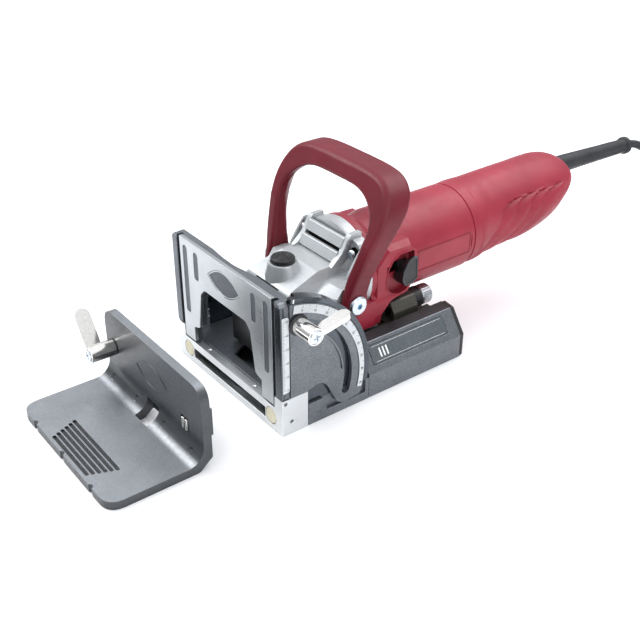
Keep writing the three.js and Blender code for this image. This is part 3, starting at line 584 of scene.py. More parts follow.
def wound(name, dark, light):
    """lacquered windings or moulded coils, in bands"""
    recipe = Recipe(name, metallic=0.7)
    wave = recipe.nodes.new("ShaderNodeTexWave")
    wave.bands_direction = "Y"
    wave.inputs["Scale"].default_value = 1 / (2.5 * MM)
    wave.inputs["Distortion"].default_value = 1.5
    recipe.link(recipe.place, wave.inputs["Vector"])
    recipe.colour(recipe.shades(wave.outputs["Fac"], [(0.1, dark), (0.9, light)]))
    recipe.roughness(recipe.spread(recipe.noise(3, 3), 0.3, 0.5))
    recipe.bump(wave.outputs["Fac"], 0.2)
    return recipe.material


RED = moulded("red_plastic", 0x881E2F, 0x962737, rough=(0.36, 0.48), specular=0.4)
RED_INSET = moulded("red_plastic_inset", 0x7A1928, 0x882230, rough=(0.42, 0.55), grain=0.6, depth=0.03)
BURGUNDY = moulded("burgundy_plastic", 0x5E1520, 0x6A1A26, rough=(0.36, 0.48), specular=0.28)
BLACK = moulded("black_plastic", 0x141416, 0x1F2022, rough=(0.35, 0.5), cloud=12)
RUBBER = moulded("black_rubber", 0x16171A, 0x232528, rough=(0.42, 0.6), grain=0.5, depth=0.03, cloud=15)
GREY_RUBBER = moulded("grey_rubber", 0x33373B, 0x44494D, rough=(0.5, 0.65), grain=0.45, depth=0.05, cloud=8)
CREAM = moulded("cream_pad", 0xD3CDB2, 0xE0DAC2, rough=(0.6, 0.75), grain=0.6, depth=0.06, cloud=5)
FILM = moulded("white_film", 0xBFC3C6, 0xCED1D3, rough=(0.3, 0.42), grain=1.2, depth=0.01, cloud=10)
INK = moulded("black_ink", 0x1B1C1E, 0x2A2B2D, rough=(0.4, 0.5), grain=0.3, depth=0.005, cloud=4)
WHITE_INK = moulded("white_ink", 0xE2E4E4, 0xEFF0F0, rough=(0.4, 0.5), grain=0.3, depth=0.005, cloud=4)
PLATE = painted_casting("label_coat", 0x565D60, 0x62696C, 0x70777A, 0.6, (0.2, 0.3), 0.6, 0.01)
CAST = painted_casting("silver_casting", 0xB0B4B6, 0xBEC2C4, 0xD2D5D6, 0.5, (0.34, 0.48), 0.5, 0.05)
ANTHRACITE = painted_casting("anthracite_casting", 0x53575B, 0x6E7277, 0x9CA0A5, 0.8, (0.32, 0.44), 0.35,
                             0.05)
# painted light and shade: a lighter copy of the anthracite paint for the lit flat of the stop square
# (painted light), darkened to 0.3 on its upright faces (painted shade)
SQUARE_COAT_PAINTED_LIGHT = painted_casting("square_coat_painted_light", 0x7C8084, 0x8C9094, 0xA8ACB0, 0.85, (0.34, 0.46), 0.35, 0.04,
                              0.3)
SLATE = painted_casting("slate_paint", 0x42474C, 0x52575D, 0x6C7278, 0.45, (0.42, 0.56), 0.4, 0.06)
OLIVE = painted_casting("olive_coat", 0x3C3B35, 0x4A4942, 0x5C5B52, 0.5, (0.35, 0.5), 0.5, 0.02)
BRIGHT = brushed("machined_aluminium", 0xC6C9CB, 0xDFE1E2, (0.03, 1, 1), (0.26, 0.4))
FACE = brushed("brushed_face", 0xA4A8AB, 0xBCC0C2, (0.03, 1, 1), (0.26, 0.4))
BAND = brushed("burnished_band", 0x43474C, 0x666B71, (0.2, 0.2, 1), (0.16, 0.26))
CHROME = brushed("nickel_plate", 0xD8D5CF, 0xF0EEEA, (0.3, 0.3, 0.3), (0.08, 0.14), 0.0008)
STEEL = brushed("steel", 0x8C8F92, 0xB4B7BA, (0.3, 1, 1), (0.25, 0.4))
ZINC = brushed("zinc_plate", 0xB9C3CC, 0xDDE3E8, (0.5, 0.5, 0.5), (0.2, 0.34), 0.006)
BLUE_ZINC = brushed("blue_zinc", 0x4C86AE, 0x7FB3D2, (0.5, 0.5, 0.5), (0.22, 0.34), 0.006)
COPPER = wound("windings", 0x8A4A22, 0xC77B42)


# ---------------------------------------------------------------- mains lead

CORD_EXIT = (0, 415.8, 86.1)
CORD_ROUTE = [
    CORD_EXIT, (0.4, 426.4, 84.6), (1.6, 436.2, 80.5), (3.4, 444.7, 74), (5.2, 451.1, 65.3),
    (6.6, 455.2, 55.3), (8.1, 459.3, 45.3), (9.9, 465.7, 36.6), (11.9, 474.2, 30.1), (13.8, 484, 25.9),
    (15, 494, 24.5), (15, 507, 24.5),
]
TAIL_ROUTE = [(109, 507, 3.5), (109, 493.7, 3.6), (109, 485, 4.2), (109, 476, 7.4), (109, 467, 11.2),
              (109, 455, 13.4), ]
COIL_X, COIL_Y = 62.0, 520.0
COIL_RADII = (33.0, 40.0, 47.0)
COIL_LAYERS = (24.5, 17.5, 10.5, 3.5)
SHIFT = 1 / 6  # share of a turn that a step sideways or down takes


def coil_points(steps=48):
    """the coil's line: turns beside each other in four layers, each step where its neighbours leave room"""
    inner, mid, outer = COIL_RADII
    # turn count at which a step starts, and the radius it ends on
    side_steps = [(0.35, mid), (0.85, inner), (2.1667, mid), (3.1667, outer), (4.8333, mid),
                  (5.8333, inner), (7.5, mid), (8.5, outer)]
    down_steps = [(1.3333, COIL_LAYERS[1]), (4.0, COIL_LAYERS[2]), (6.6667, COIL_LAYERS[3])]
    turns = 9.5

    def value(first, changes, t):
        level = first
        for start, target in changes:
            level += (target - level) * smooth_step(t, start, start + SHIFT)
        return level

    points = []
    for i in range(1, int(turns * steps)):
        t = i / steps
        angle = math.pi - 2 * math.pi * t
        radius = value(outer, side_steps, t)
        height = value(COIL_LAYERS[0], down_steps, t)
        points.append((COIL_X + radius * math.cos(angle), COIL_Y + radius * math.sin(angle), height))
    return points


def make_tie():
    """hook-and-loop strap round the coil's section, on its far side"""
    inside = rounded([(28.6, 0.35), (51.4, 0.35), (51.4, 28.9), (28.6, 28.9)], 4)
    outside = rounded([(28.0, 0.0), (52.0, 0.0), (52.0, 29.7), (28.0, 29.7)], 4.6)
    strap = raised_rim(outside, inside, 5, -5)
    tag = prism("Y", rounded([(52.0, 6), (53.1, 6), (53.1, 20), (52.0, 20)], 0.4, 3), -5, 5)
    whole = (strap + tag).turned("Z", 70).moved(COIL_X, COIL_Y, 0)
    return piece("cord_tie", whole, RUBBER, "motor_unit", bevel=0.25)


def make_plug():
    x, back, z = 109.0, 456.5, 13.4
    front = 417.0
    boot = lathe("Y", (x, 0, z), rounded([
        (front + 20, 9.2), (front + 24, 9.0), (back - 12, 6.6), (back - 12, 5.6), (back - 9.5, 5.6),
        (back - 9.5, 6.3), (back - 6, 6.0), (back - 6, 5.1), (back - 3.5, 5.1), (back - 3.5, 5.6),
        (back, 5.2), (back, 3.6)], 0.3, 2, closed=False), 36)
    outline = rounded([(-18, 6), (-12, 12.9), (12, 12.9), (18, 6), (18, -6), (12, -12.9), (-12, -12.9),
                       (-18, -6)], 3.5)
    sections = [(front, 0.955), (front + 0.8, 0.985), (front + 2.5, 1.0), (front + 14, 1.0),
                (front + 19, 0.95), (front + 22.5, 0.82), (front + 24, 0.62)]
    head = skin([[(x + u * k, y, z + v * k) for u, v in outline] for y, k in sections])
    body = piece("plug_body", boot + head, RUBBER, "motor_unit", replaces="mains_plug", corner=50)
    pins = []
    for side in (-9.5, 9.5):
        pins.append(lathe("Y", (x + side, 0, z),
                          [(front - 19, 0.6), (front - 18.6, 1.5), (front - 17.5, 2.3), (front - 10, 2.4),
                           (front + 1, 2.4)], 24))
    contacts = piece("plug_pins", total(pins), CHROME, "motor_unit")
    return [body, contacts]


def make_guard():
    """moulded strain relief: a tapered sleeve with a rounded collar at its end"""
    length, droop = 101.8, 2.1
    profile = rounded([(0, 3.8), (0, 7.4), (24, 7.2), (60, 6.5), (length - 4.4, 6.0), (length - 3.8, 7.5),
                       (length - 0.4, 7.5), (length, 7.0), (length, 3.8)],
                      [0, 0.4, 3, 3, 0.6, 1.2, 1.2, 0.4, 0], 4)
    start_z = 86.1 + length * math.sin(math.radians(droop))
    sleeve = lathe("Y", (0, 0, 0), profile, 48, loop=True).turned("X", -droop).moved(0, 313.4, start_z)
    return piece("cord_sleeve", sleeve, RUBBER, "motor_unit", replaces="cord_guard")


def make_mains_lead():
    route = curve_through(CORD_ROUTE, 8)
    tail = curve_through(TAIL_ROUTE, 8)
    line = [place(*p) for p in route + [Vector(p) for p in coil_points()] + tail]
    data = bpy.data.curves.new("mains_lead", "CURVE")
    data.dimensions = "3D"
    data.bevel_depth = CORD_R * MM
    data.bevel_resolution = 4
    data.use_fill_caps = True
    spline = data.splines.new("POLY")
    spline.points.add(len(line) - 1)
    for point, where in zip(spline.points, line):
        point.co = (*where, 1)
    spline.use_smooth = True
    data.materials.append(RUBBER)
    lead = bpy.data.objects.new("mains_lead", data)
    bpy.context.scene.collection.objects.link(lead)
    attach(lead, "motor_unit")
    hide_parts("power_cord", "cord_coil", "cord_tail")
    with_pieces = [make_guard(), make_tie(), *make_plug()]


# ---------------------------------------------------------------- small hardware

def screw_head(axis, centre, radius, height, drive="cross", recess=1.2):
    """domed head facing +axis with a drive recess; centre is on the seat"""
    profile = [(0, radius), (height * 0.45, radius), (height * 0.8, radius * 0.86), (height, radius * 0.6)]
    head = lathe(axis, centre, rounded(profile, 0.3, 3, closed=False), 40)
    top = height - recess
    cutters = []
    if drive == "cross":
        arm, half = radius * 0.55, radius * 0.11
        for u, v in ((arm, half), (half, arm)):
            outline = [(-u, -v), (u, -v), (u, v), (-u, v)]
            cutters.append(prism(axis, outline, top, height + 1).moved(*centre))
        cutters.append(prism(axis, circle(0, 0, radius * 0.2, 12), top - 0.3, height + 1).moved(*centre))
    else:
        points = 12 if drive == "star" else 6
        outer, inner = radius * 0.34, radius * (0.24 if drive == "star" else 0.34)
        star = []
        for i in range(points):
            size = outer if i % 2 == 0 else inner
            angle = 2 * math.pi * i / points
            star.append((size * math.cos(angle), size * math.sin(angle)))
        cutters.append(prism(axis, star, top, height + 1).moved(*centre))
    return cut(head, *cutters)


def make_lever(start, end, paddle_from, reach):
    """barrel along +X from the origin's axis with a flag-like paddle standing out along +Y"""
    barrel = lathe("X", (0, 0, 0), rounded([
        (start, 5.0), (start, 5.9), (start + 5, 6.0), (end - 1.0, 6.0), (end - 1.0, 5.1), (end - 1.4, 4.9)],
        [0, 0.6, 1, 0.7, 0.2, 0], 4, closed=False), 64)
    half = (end - 0.5 - paddle_from) / 2
    middle = paddle_from + half
    outline = [(middle - half * 0.92, 2.0), (middle + half * 0.92, 2.0), (middle + half, 9),
               (middle + half, reach - half)]
    outline += [(middle + half * math.cos(a), reach - half + half * math.sin(a))
                for a in (math.pi * i / 14 for i in range(1, 15))]
    outline += [(middle - half, 9)]
    return join(barrel, prism("Z", outline, -1.5, 1.5))


# ---------------------------------------------------------------- base

def make_front_frame():
    extra = []
    for x in (-28, 28):
        extra.append(prism("Z", circle(x, 3.0, 1.1, 16), 18.4, 20))
    frame_mesh = cut(cad_mesh("front_frame"), *extra)
    piece("front_frame_bevelled", frame_mesh, BRIGHT, "base", replaces="front_frame", bevel=0.35)
    for side, name in SIDES:
        pad = lathe("Y", (side * 51.7, 0, 10), rounded([(2.0, 5.9), (0.3, 5.9), (0.02, 5.4), (0.02, 2)],
                0.4, 4, closed=False), 48)
        piece("front_pad_" + name, pad, CREAM, "base", replaces="grip_pad_" + name)
        feet = prism("Z", rounded([(side * 50, 1.2), (side * 55, 1.2), (side * 55, 5), (side * 50, 5)], 1,
                                  3), 0.05, 1.0)
        piece("front_foot_" + name, feet, RUBBER, "base", bevel=0.2)
    # socket screws deep in the block's side holes
    sockets = []
    for y, z in ((3.1, 24.6), (7.8, 9.2)):
        for side in (1, -1):
            sockets.append(lathe("X", (0, y, z), [(side * 61.0, 1.36), (side * 62.4, 1.36)], 20))
    piece("frame_hole_screws", total(sockets), STEEL, "base")


def make_base_casting():
    piece("base_casting_bevelled", cad_mesh("base_casting"), ANTHRACITE, "base", replaces="base_casting",
          bevel=0.5)
    piece("chamber_cover_bevelled", cad_mesh("chamber_cover"), ANTHRACITE, "base", replaces="chamber_cover",
          bevel=0.4)
    for side, name, slot_r, rim_r, bolt in ((1, "right", 53.05, 71, (BOLT_Y, BOLT_Z)),
                                            (-1, "left", 38, 52, (LEFT_BOLT_Y, LEFT_BOLT_Z))):
        start = math.degrees(math.asin(7.2 / rim_r))
        inner = [(22, 17.3), (22, 36)] + arc(slot_r - 13, 75, 24, 12) + [(7, PIVOT_Z + slot_r - 10)]
        top = PIVOT_Z + slot_r + 4.7
        edge = arc(rim_r, math.degrees(math.asin(12.8 / rim_r)), 99, 48)
        outer = [(7, top), (12.8, top)] + edge + [(edge[-1][0], 17.3)]
        plate = prism("X", inner + outer, 58, 62.6)
        rim = prism("X", arc(rim_r, start, 101, 56) + arc(rim_r - 3.3, 101, start, 56), 62.2, 66)
        bracket = join(cut(plate, prism("X", circle(*bolt, 3.3), 50, 70)), rim)
        if side < 0:
            bracket = flipped(bracket)
        piece("bracket_bevelled_" + name, bracket, BAND, "base", replaces="side_bracket_" + name,
              bevel=0.7, segments=3)
    mark = prism("X", arc(70.6, 7.1, 7.9, 2) + arc(68.0, 7.9, 7.1, 2), 66.0, 66.12)
    piece("index_mark", mark, WHITE_INK, "base")


def facet(along, proud):
    """(x, z) on the rail's sloping facet"""
    return (HALF_WIDTH - 0.587 * along + 0.809 * proud, 18.5 + 0.809 * along + 0.587 * proud)


def facet_strip(start, end, deep, proud, y0, y1):
    outline = [facet(start, deep), facet(start, proud), facet(end, proud), facet(end, deep)]
    return prism("Y", outline, y0, y1)


def make_rails():
    for side, name in SIDES:
        piece("rail_bevelled_" + name, cad_mesh("rail_" + name), ANTHRACITE, "base", replaces="rail_"
              + name, bevel=0.8, segments=3)
        piece("rail_cap_bevelled_" + name, cad_mesh("rail_end_cap_" + name), BLACK, "base",
              replaces="rail_end_cap_" + name, bevel=0.6, segments=3)
        strip = prism("Y", [(side * 42.6, 36.9), (side * 51.4, 36.0), (side * 51.4, 36.3),
                            (side * 42.6, 37.2)], 74, 159.6)
        piece("rail_strip_" + name, strip, RUBBER, "base")
    piece("label_plate", cad_mesh("rating_plate"), PLATE, "base", replaces="rating_plate", bevel=0.15)
    # a plain frame line and three bars stand where the real plate is printed
    marks = [facet_strip(6.4, 6.6, -0.12, 0.0, 83, 147), facet_strip(17.2, 17.4, -0.12, 0.0, 83, 147)]
    marks += [facet_strip(8.6, 15.2, -0.12, 0.0, y, y + 1.2) for y in (88, 91, 94)]
    piece("label_marks", total(marks), WHITE_INK, "base")


def make_dust_nozzle():
    profile = rounded([(-51.8, 12), (-51.8, 14.5), (-86.5, 14.5), (-87.2, 14.1), (-90, 14.0), (-90, 12)],
                      0.4, 3)
    nozzle = lathe("X", (0, 112, 17), profile, 64, loop=True)
    ribs = [lathe("X", (0, 112, 17), [(x, 14.3), (x, 14.75), (x - 1.2, 14.75), (x - 1.2, 14.3)], 64,
                  loop=True) for x in (-72.0, -76.0, -80.0)]
    piece("dust_outlet_ribbed", nozzle + total(ribs), BLACK, "base", replaces="dust_nozzle", bevel=0.15)


def make_base_hardware():
    for node in ("spring_rod", "return_spring", "depth_stop_bracket", "depth_stop_screw", "clamp_bolt"):
        dress(node, STEEL)
    head = screw_head("X", (0, 0, 0), 5.8, 2.7, "hex", 1.4)
    head = flipped(moved_mesh(head, shift(66.3, LEFT_BOLT_Y, LEFT_BOLT_Z)))
    shank = lathe("X", (0, LEFT_BOLT_Y, LEFT_BOLT_Z), [(-57, 3.0), (-66.4, 3.0)], 32)
    piece("guide_bolt_head", head, ZINC, "base", replaces="guide_bolt_left", bevel=0.1)
    piece("guide_bolt_shank", shank, STEEL, "base")


def dress(node, material):
    """a CAD node that stays as it is and gets a node material"""
    shown = frame["nodes"][node]
    shown.data.materials.clear()
    shown.data.materials.append(material)
    return shown


# ---------------------------------------------------------------- swivel front

WINDOW = [
    (-42, 19), (42, 19), (42, 32.5), (34.7, 35), (31.5, 55), (30, 64.5), (25, 69.5),
    (-25, 69.5), (-30, 64.5), (-31.5, 55), (-34.7, 35), (-42, 32.5),
]
WINDOW_RADII = [0, 0, 1.0, 2.5, 8, 3.5, 4, 4, 3.5, 8, 2.5, 1.0]
FACE_SLOTS = [(-34.5, 73, 94.5), (34.5, 73, 94.5), (-48.3, 42, 95), (48.3, 42, 95)]


def make_face_plate():
    window = prism("Y", rounded(WINDOW, WINDOW_RADII, 6), -1, 5)
    slots = [prism("Y", slot_outline(x, z0, z1, 2.75), -1, 1.0) for x, z0, z1 in FACE_SLOTS]
    badge = prism("Y", lens_outline(0, 85, 19.5, 9), -1, 1.2)
    plate = cut(block(-55, 55, 0, 3, 20.3, 100), window, badge, *slots)
    piece("face_plate_bevelled", plate, FACE, "swivel_front", replaces="front_face_plate", bevel=0.25)
    inlays = [prism("Y", slot_outline(x, z0 + 0.15, z1 - 0.15, 2.6), 0.3, 0.98) for x, z0, z1 in FACE_SLOTS]
    piece("face_slot_inlays", total(inlays), SLATE, "swivel_front", bevel=0.1)


def make_badge():
    """pointed oval with a thin raised rim; it stays blank"""
    base = prism("Y", lens_outline(0, 85, 19, 8.6), 0.55, 1.15)
    outer, inner = lens_outline(0, 85, 18.9, 8.5), lens_outline(0, 85, 18.0, 8.0)
    rim = raised_rim(outer, inner, 0.25, 0.6)
    piece("badge_field", base, SLATE, "swivel_front", replaces="lens_badge", bevel=0.1)
    piece("badge_relief", rim, BRIGHT, "swivel_front", bevel=0.08)


def make_swivel_frame():
    top_line = [(-62, 8.2), (-24, 8.2), (-10, 6.7), (4, 6.4), (16, 8.2), (28, 9.8), (62, 9.6)]
    rear = rounded(top_line, 30, 5, closed=False)
    band = prism("Z", [(62, 3.4), (-62, 3.4)] + rear, 89.6, 99.5)
    deck = block(-58.2, 58.2, 3.3, 6, 20.3, 99.5)
    whole = join(deck, band)
    window = prism("Y", rounded(WINDOW, WINDOW_RADII, 6), -1, 20)
    tools = [window]
    for side in (1, -1):
        lip_outline = rounded([(58.2, 29), (65, 29), (65, 96.5), (62, 99.5), (58.2, 99.5)],
                              [0, 0.4, 2.5, 2.5, 0], 5)
        lip = prism("Y", [(side * u, v) for u, v in lip_outline], 0, 6)
        whole = join(whole, lip)
        tools.append(block(side * 54, side * 60, 0, 7, 19, 29))
        tools.append(block(side * 55.2, side * 58.2, -1, 4.7, 31, 99.6))
    piece("swivel_frame_bevelled", cut(whole, *tools), ANTHRACITE, "swivel_front", replaces="swivel_frame",
          bevel=0.45, segments=3)
    # burnished bars along the two front lips, and the seals under them
    for side, name in SIDES:
        bar = prism("Z",
                    rounded([(side * 58.5, -0.15), (side * 65.15, -0.15), (side * 65.15, 2.6),
                             (side * 58.5, 2.6)], [0.4, 1.6, 0.2, 0.2], 5), 29.3, 96.8)
        piece("lip_bar_" + name, bar, BAND, "swivel_front", bevel=0.3)
        seal = block(side * 55.8, side * 64.5, 0.6, 6.4, 27.55, 28.8)
        piece("lip_seal_" + name, seal, BLACK, "base", bevel=0.3)


def make_sectors():
    right_lobe = [(28, 31.5), (31.5, 31), (35.9, 27.1), (44.1, 10.2), (49.3, 7.7)]
    left_lobe = [(26, 29.5), (29.5, 24), (30, 17), (32, 12.5), (36, 11.5), (42, 11.5)]
    right = sector_plate(67.3, 53.05, 13.3, right_lobe, 109.5)
    left = flipped(sector_plate(48.3, 38.0, 17.0, left_lobe, 113))
    for plate, name in ((right, "right"), (left, "left")):
        piece("sector_bevelled_" + name, plate, ANTHRACITE, "swivel_front", replaces="sector_" + name,
              bevel=0.4, segments=2)


def sector_plate(radius, slot_r, bolt_angle, lobe, last):
    """plate with an arc slot and a crescent recess; last is the angle where its rim ends"""
    first = math.degrees(math.asin(6.3 / radius))
    corners = [(6.3, 60), (6.3, 28.8), (20.6, 29.4)] + lobe + [on_arc(radius, last)]
    soft = rounded(corners, [0, 0, 6] + [3] * len(lobe) + [0], 6)[1:-1]
    outline = soft + arc(radius, last - 0.3, first, 60)
    start, end = bolt_angle - 1.2, bolt_angle + 91.2
    slot = arc(slot_r + 3.3, start, end, 40) + arc(slot_r - 3.3, end, start, 40)
    ends = [prism("X", circle(*on_arc(slot_r, a), 3.3), 60, 70) for a in (start, end)]
    crescent = arc(slot_r - 4.5, 30, 86, 24)
    for i in range(25):
        angle = 86 - 56 * i / 24
        crescent.append(on_arc(slot_r - 4.5 - 8.5 * math.sin(math.pi * (angle - 30) / 56), angle))
    recess = prism("X", crescent, 65.0, 70)
    return cut(prism("X", outline, 63, 66), prism("X", slot, 60, 70), *ends, recess)


def scale_inner_radius(angle):
    """the angle scale gets narrower towards its rear end"""
    return 60.8 + 2.0 * smooth_step(angle, 30, 100)


def make_scales():
    first, last, steps = 8, 104, 60
    angles = [last - (last - first) * i / steps for i in range(steps + 1)]
    inner_edge = [on_arc(scale_inner_radius(angle), angle) for angle in angles]
    film = prism("X", arc(66.6, first, last, steps) + inner_edge, 66.3, 66.6)
    piece("angle_scale_film", film, FILM, "swivel_front", replaces="angle_scale", bevel=0.08)
    zero = 14.0  # angle on the sector where the scale starts
    marks = []
    for degrees in range(0, 91, 5):
        at = zero + degrees * 0.97
        long_mark = degrees % 10 == 0
        reach = 64.4 if long_mark else 65.3
        marks.append(prism("X", arc(66.3, at - 0.14, at + 0.14, 1) + arc(reach, at + 0.14, at - 0.14, 1),
                           66.58, 66.64))
        if long_mark:
            digits = text_shape(str(degrees), 2.4).turned("Z", 90)
            marks.append(digits.turned("X", -at).moved(66.62, *on_arc(scale_inner_radius(at) + 1.8, at)))
    piece("angle_scale_marks", total(marks), INK, "swivel_front", corner=60)
    strip = prism("X", rounded([(0.5, 34), (5.8, 34), (5.8, 90), (0.5, 90)], [0.8, 2.4, 2.4, 0.8], 6), 65.3,
                  65.6)
    piece("height_scale_film", strip, FILM, "swivel_front", replaces="height_scale", bevel=0.08)
    ticks = []
    for step in range(0, 51):
        z = 36 + step * 1.02
        reach = {0: 2.6, 5: 2.0}.get(step % 10, 1.3)
        ticks.append(prism("X", [(0.7, z - 0.09), (0.7 + reach, z - 0.09), (0.7 + reach, z + 0.09),
                                 (0.7, z + 0.09)], 65.58, 65.64))
        if step % 10 == 0:
            ticks.append(text_shape(str(step), 2.3).turned("Z", 90).moved(65.62, 4.4, z))
    piece("height_scale_marks", total(ticks), INK, "swivel_front", corner=60)


def make_clamp_lever():
    move = shift(0, BOLT_Y, BOLT_Z) @ Matrix.Rotation(math.radians(11.5), 4, "X")
    lever = moved_mesh(make_lever(66.8, 86, 76.5, 29), move)
    piece("clamp_lever_polished", lever, CHROME, "clamp_lever", replaces="clamp_lever", bevel=0.8,
          segments=4)
    screw = moved_mesh(screw_head("X", (84.3, 0, 0), 4.7, 1.6, "cross", 1.1), move)
    piece("clamp_lever_screw", screw, ZINC, "clamp_lever", bevel=0.08)
    collar = lathe("X", (0, BOLT_Y, BOLT_Z),
                   rounded([(66.75, 3.3), (66.75, 7.2), (67.6, 7.2), (68.2, 6.2), (68.2, 3.3)],
                           [0, 0.3, 0.4, 0.3, 0], 3), 48, loop=True)
    piece("clamp_lever_washer", collar, BLACK, "clamp_lever")


# ---------------------------------------------------------------- motor unit

def make_gear_housing():
    profile = rounded([(24, 23), (73.5, 23), (73.5, 40), (80, 44), (80, 84.5), (62, 84.5), (45, 79.5),
                       (36, 76.5), (31, 69.5), (24, 62)], [0, 0, 0, 0, 0, 6, 8, 6, 5, 3], 5)
    front = rounded([(28.4, 23), (28.4, 60), (24, 76), (20, 88), (-20, 88), (-24, 76), (-28.4, 60),
                     (-28.4, 23)], [0, 5, 2.5, 2, 2, 2.5, 5, 0], 5)
    head = common(prism("X", profile, -40, 40), prism("Y", front, 0, 120))
    cone = lathe("Y", (0, 0, MOTOR_Z), [(70, 24), (84, 27.5), (88.5, 30), (89, 35.6), (91, 36), (98, 36)],
                 96)
    # the cone stays open above the deck, between the two side walls
    cone = cut(cone, block(-19.2, 19.2, 60, 88.8, 82, 112))
    boss = lathe("Z", (0, 48, 0), [(72, 13.5), (78, 12.4), (83, 11.2), (87.2, 10.5), (88, 9.9)], 64)
    flange = rounded([(-33, 56), (33, 56), (33.6, 94), (29, 99.5), (14, 103), (-14, 103), (-29, 99.5),
                      (-33.6, 94)], [3, 3, 3, 4, 20, 20, 4, 3], 6)
    # the pieces end a little apart, so that the join never meets two faces in one plane
    parts = [cone, boss, prism("Y", flange, 89.5, 97.9)]
    # two slanted cross bars, one above the other, with dark gaps between them: painted shadow, from black
    # blocks set behind them
    bars = total([prism("X", [(y0, z0), (y1, z1), (y1 + 2.4, z1), (y0 + 2.4, z0 - 1)], -20, 20)
                  for (y0, z0), (y1, z1) in (((75.4, 85.8), (79.2, 92.6)), ((81.6, 95.0), (85.2, 101.6)))])
    piece("gear_case_bars", bars, CAST, "motor_unit", bevel=0.5)
    for side in (1, -1):
        # cheek that flares out to the handle's screw
        cheek = [(56, 52), (66, 48), (80, 48), (86, 56), (90, 70), (86, 80), (66, 77), (56, 71)]
        wide = [(64, 60), (69, 56), (79, 56), (84, 61), (84.5, 68), (79, 76), (68, 76), (63.5, 70)]
        parts.append(skin([[(side * x, y, z) for y, z in outline]
                           for x, outline in ((18, cheek), (29, cheek), (39.4, wide), (40.2, wide))]))
        # side wall that runs up to the flange beside the deck
        parts.append(prism("X", [(70, 76), (72, 84.4), (81, 92.5), (85.5, 101), (88.5, 104.2),
                                 (97.7, 104.2), (97.7, 80)], side * 21.2 - 2.0, side * 21.2 + 2.0))
        # outer rib of the screw's pocket
        parts.append(prism("X", [(76, 76), (79, 82), (86.5, 93), (90, 97.2), (97.5, 97.2), (97.5, 75)],
                           side * 32.6 - 0.9, side * 32.6 + 0.9))
        parts.append(lathe("Y", (side * 27.0, 0, 92), [(86.5, 4.2), (97.3, 4.2)], 32))
    housing = join(head, *parts)
    tools = [
        lathe("Z", (0, 52, 0), [(20, 8), (30, 8)], 48),
        lathe("Z", (0, 52, 0), [(26.5, 13.3), (55, 13.3)], 48),
        lathe("Z", (0, 52, 0), [(50, 21.5), (75.5, 21.5)], 48),
        lathe("Y", (0, 0, MOTOR_Z), [(50, 11.5), (100, 11.5)], 48),
        lathe("Y", (0, 0, MOTOR_Z), [(84, 13.3), (99, 13.3)], 48),
        lathe("Z", (0, 42, 0), [(70, 2.45), (90, 2.45)], 24),
        lathe("Z", (0, 48, 0), [(80, 8.75), (90, 8.75)], 48),
        # the underside stays open above the carriage
        block(-60, 60, 20, 99, 10, 23),
    ]
    piece("gear_case_detailed", cut(housing, *tools), CAST, "motor_unit", replaces="gear_housing",
          bevel=0.5, segments=2)
    # painted shadow: black blocks behind the cross bars, where the gaps between them show only shade
    dark = block(-19, 19, 84.5, 89.4, 78, 98) + block(-19, 19, 77.5, 84.5, 78, 84.2)
    piece("gap_painted_shadow", dark, BLACK, "motor_unit")
    guard = rounded([(-27.5, 23), (27.5, 23), (27.5, 44), (24, 47), (-24, 47), (-27.5, 44)],
                    [0, 0, 2, 2, 2, 2], 4)
    piece("nose_guard", prism("Y", guard, 22.6, 24.4), BLACK, "motor_unit", bevel=0.5)
    for side, name in SIDES:
        head = screw_head("Y", (0, 0, 0), 3.4, 2.3, "cross", 1.0)
        moved_mesh(head, shift(side * 27.0, 86.5, 92) @ Matrix.Rotation(math.pi, 4, "Z"))
        piece("flange_screw_" + name, head, ZINC, "motor_unit", bevel=0.08)


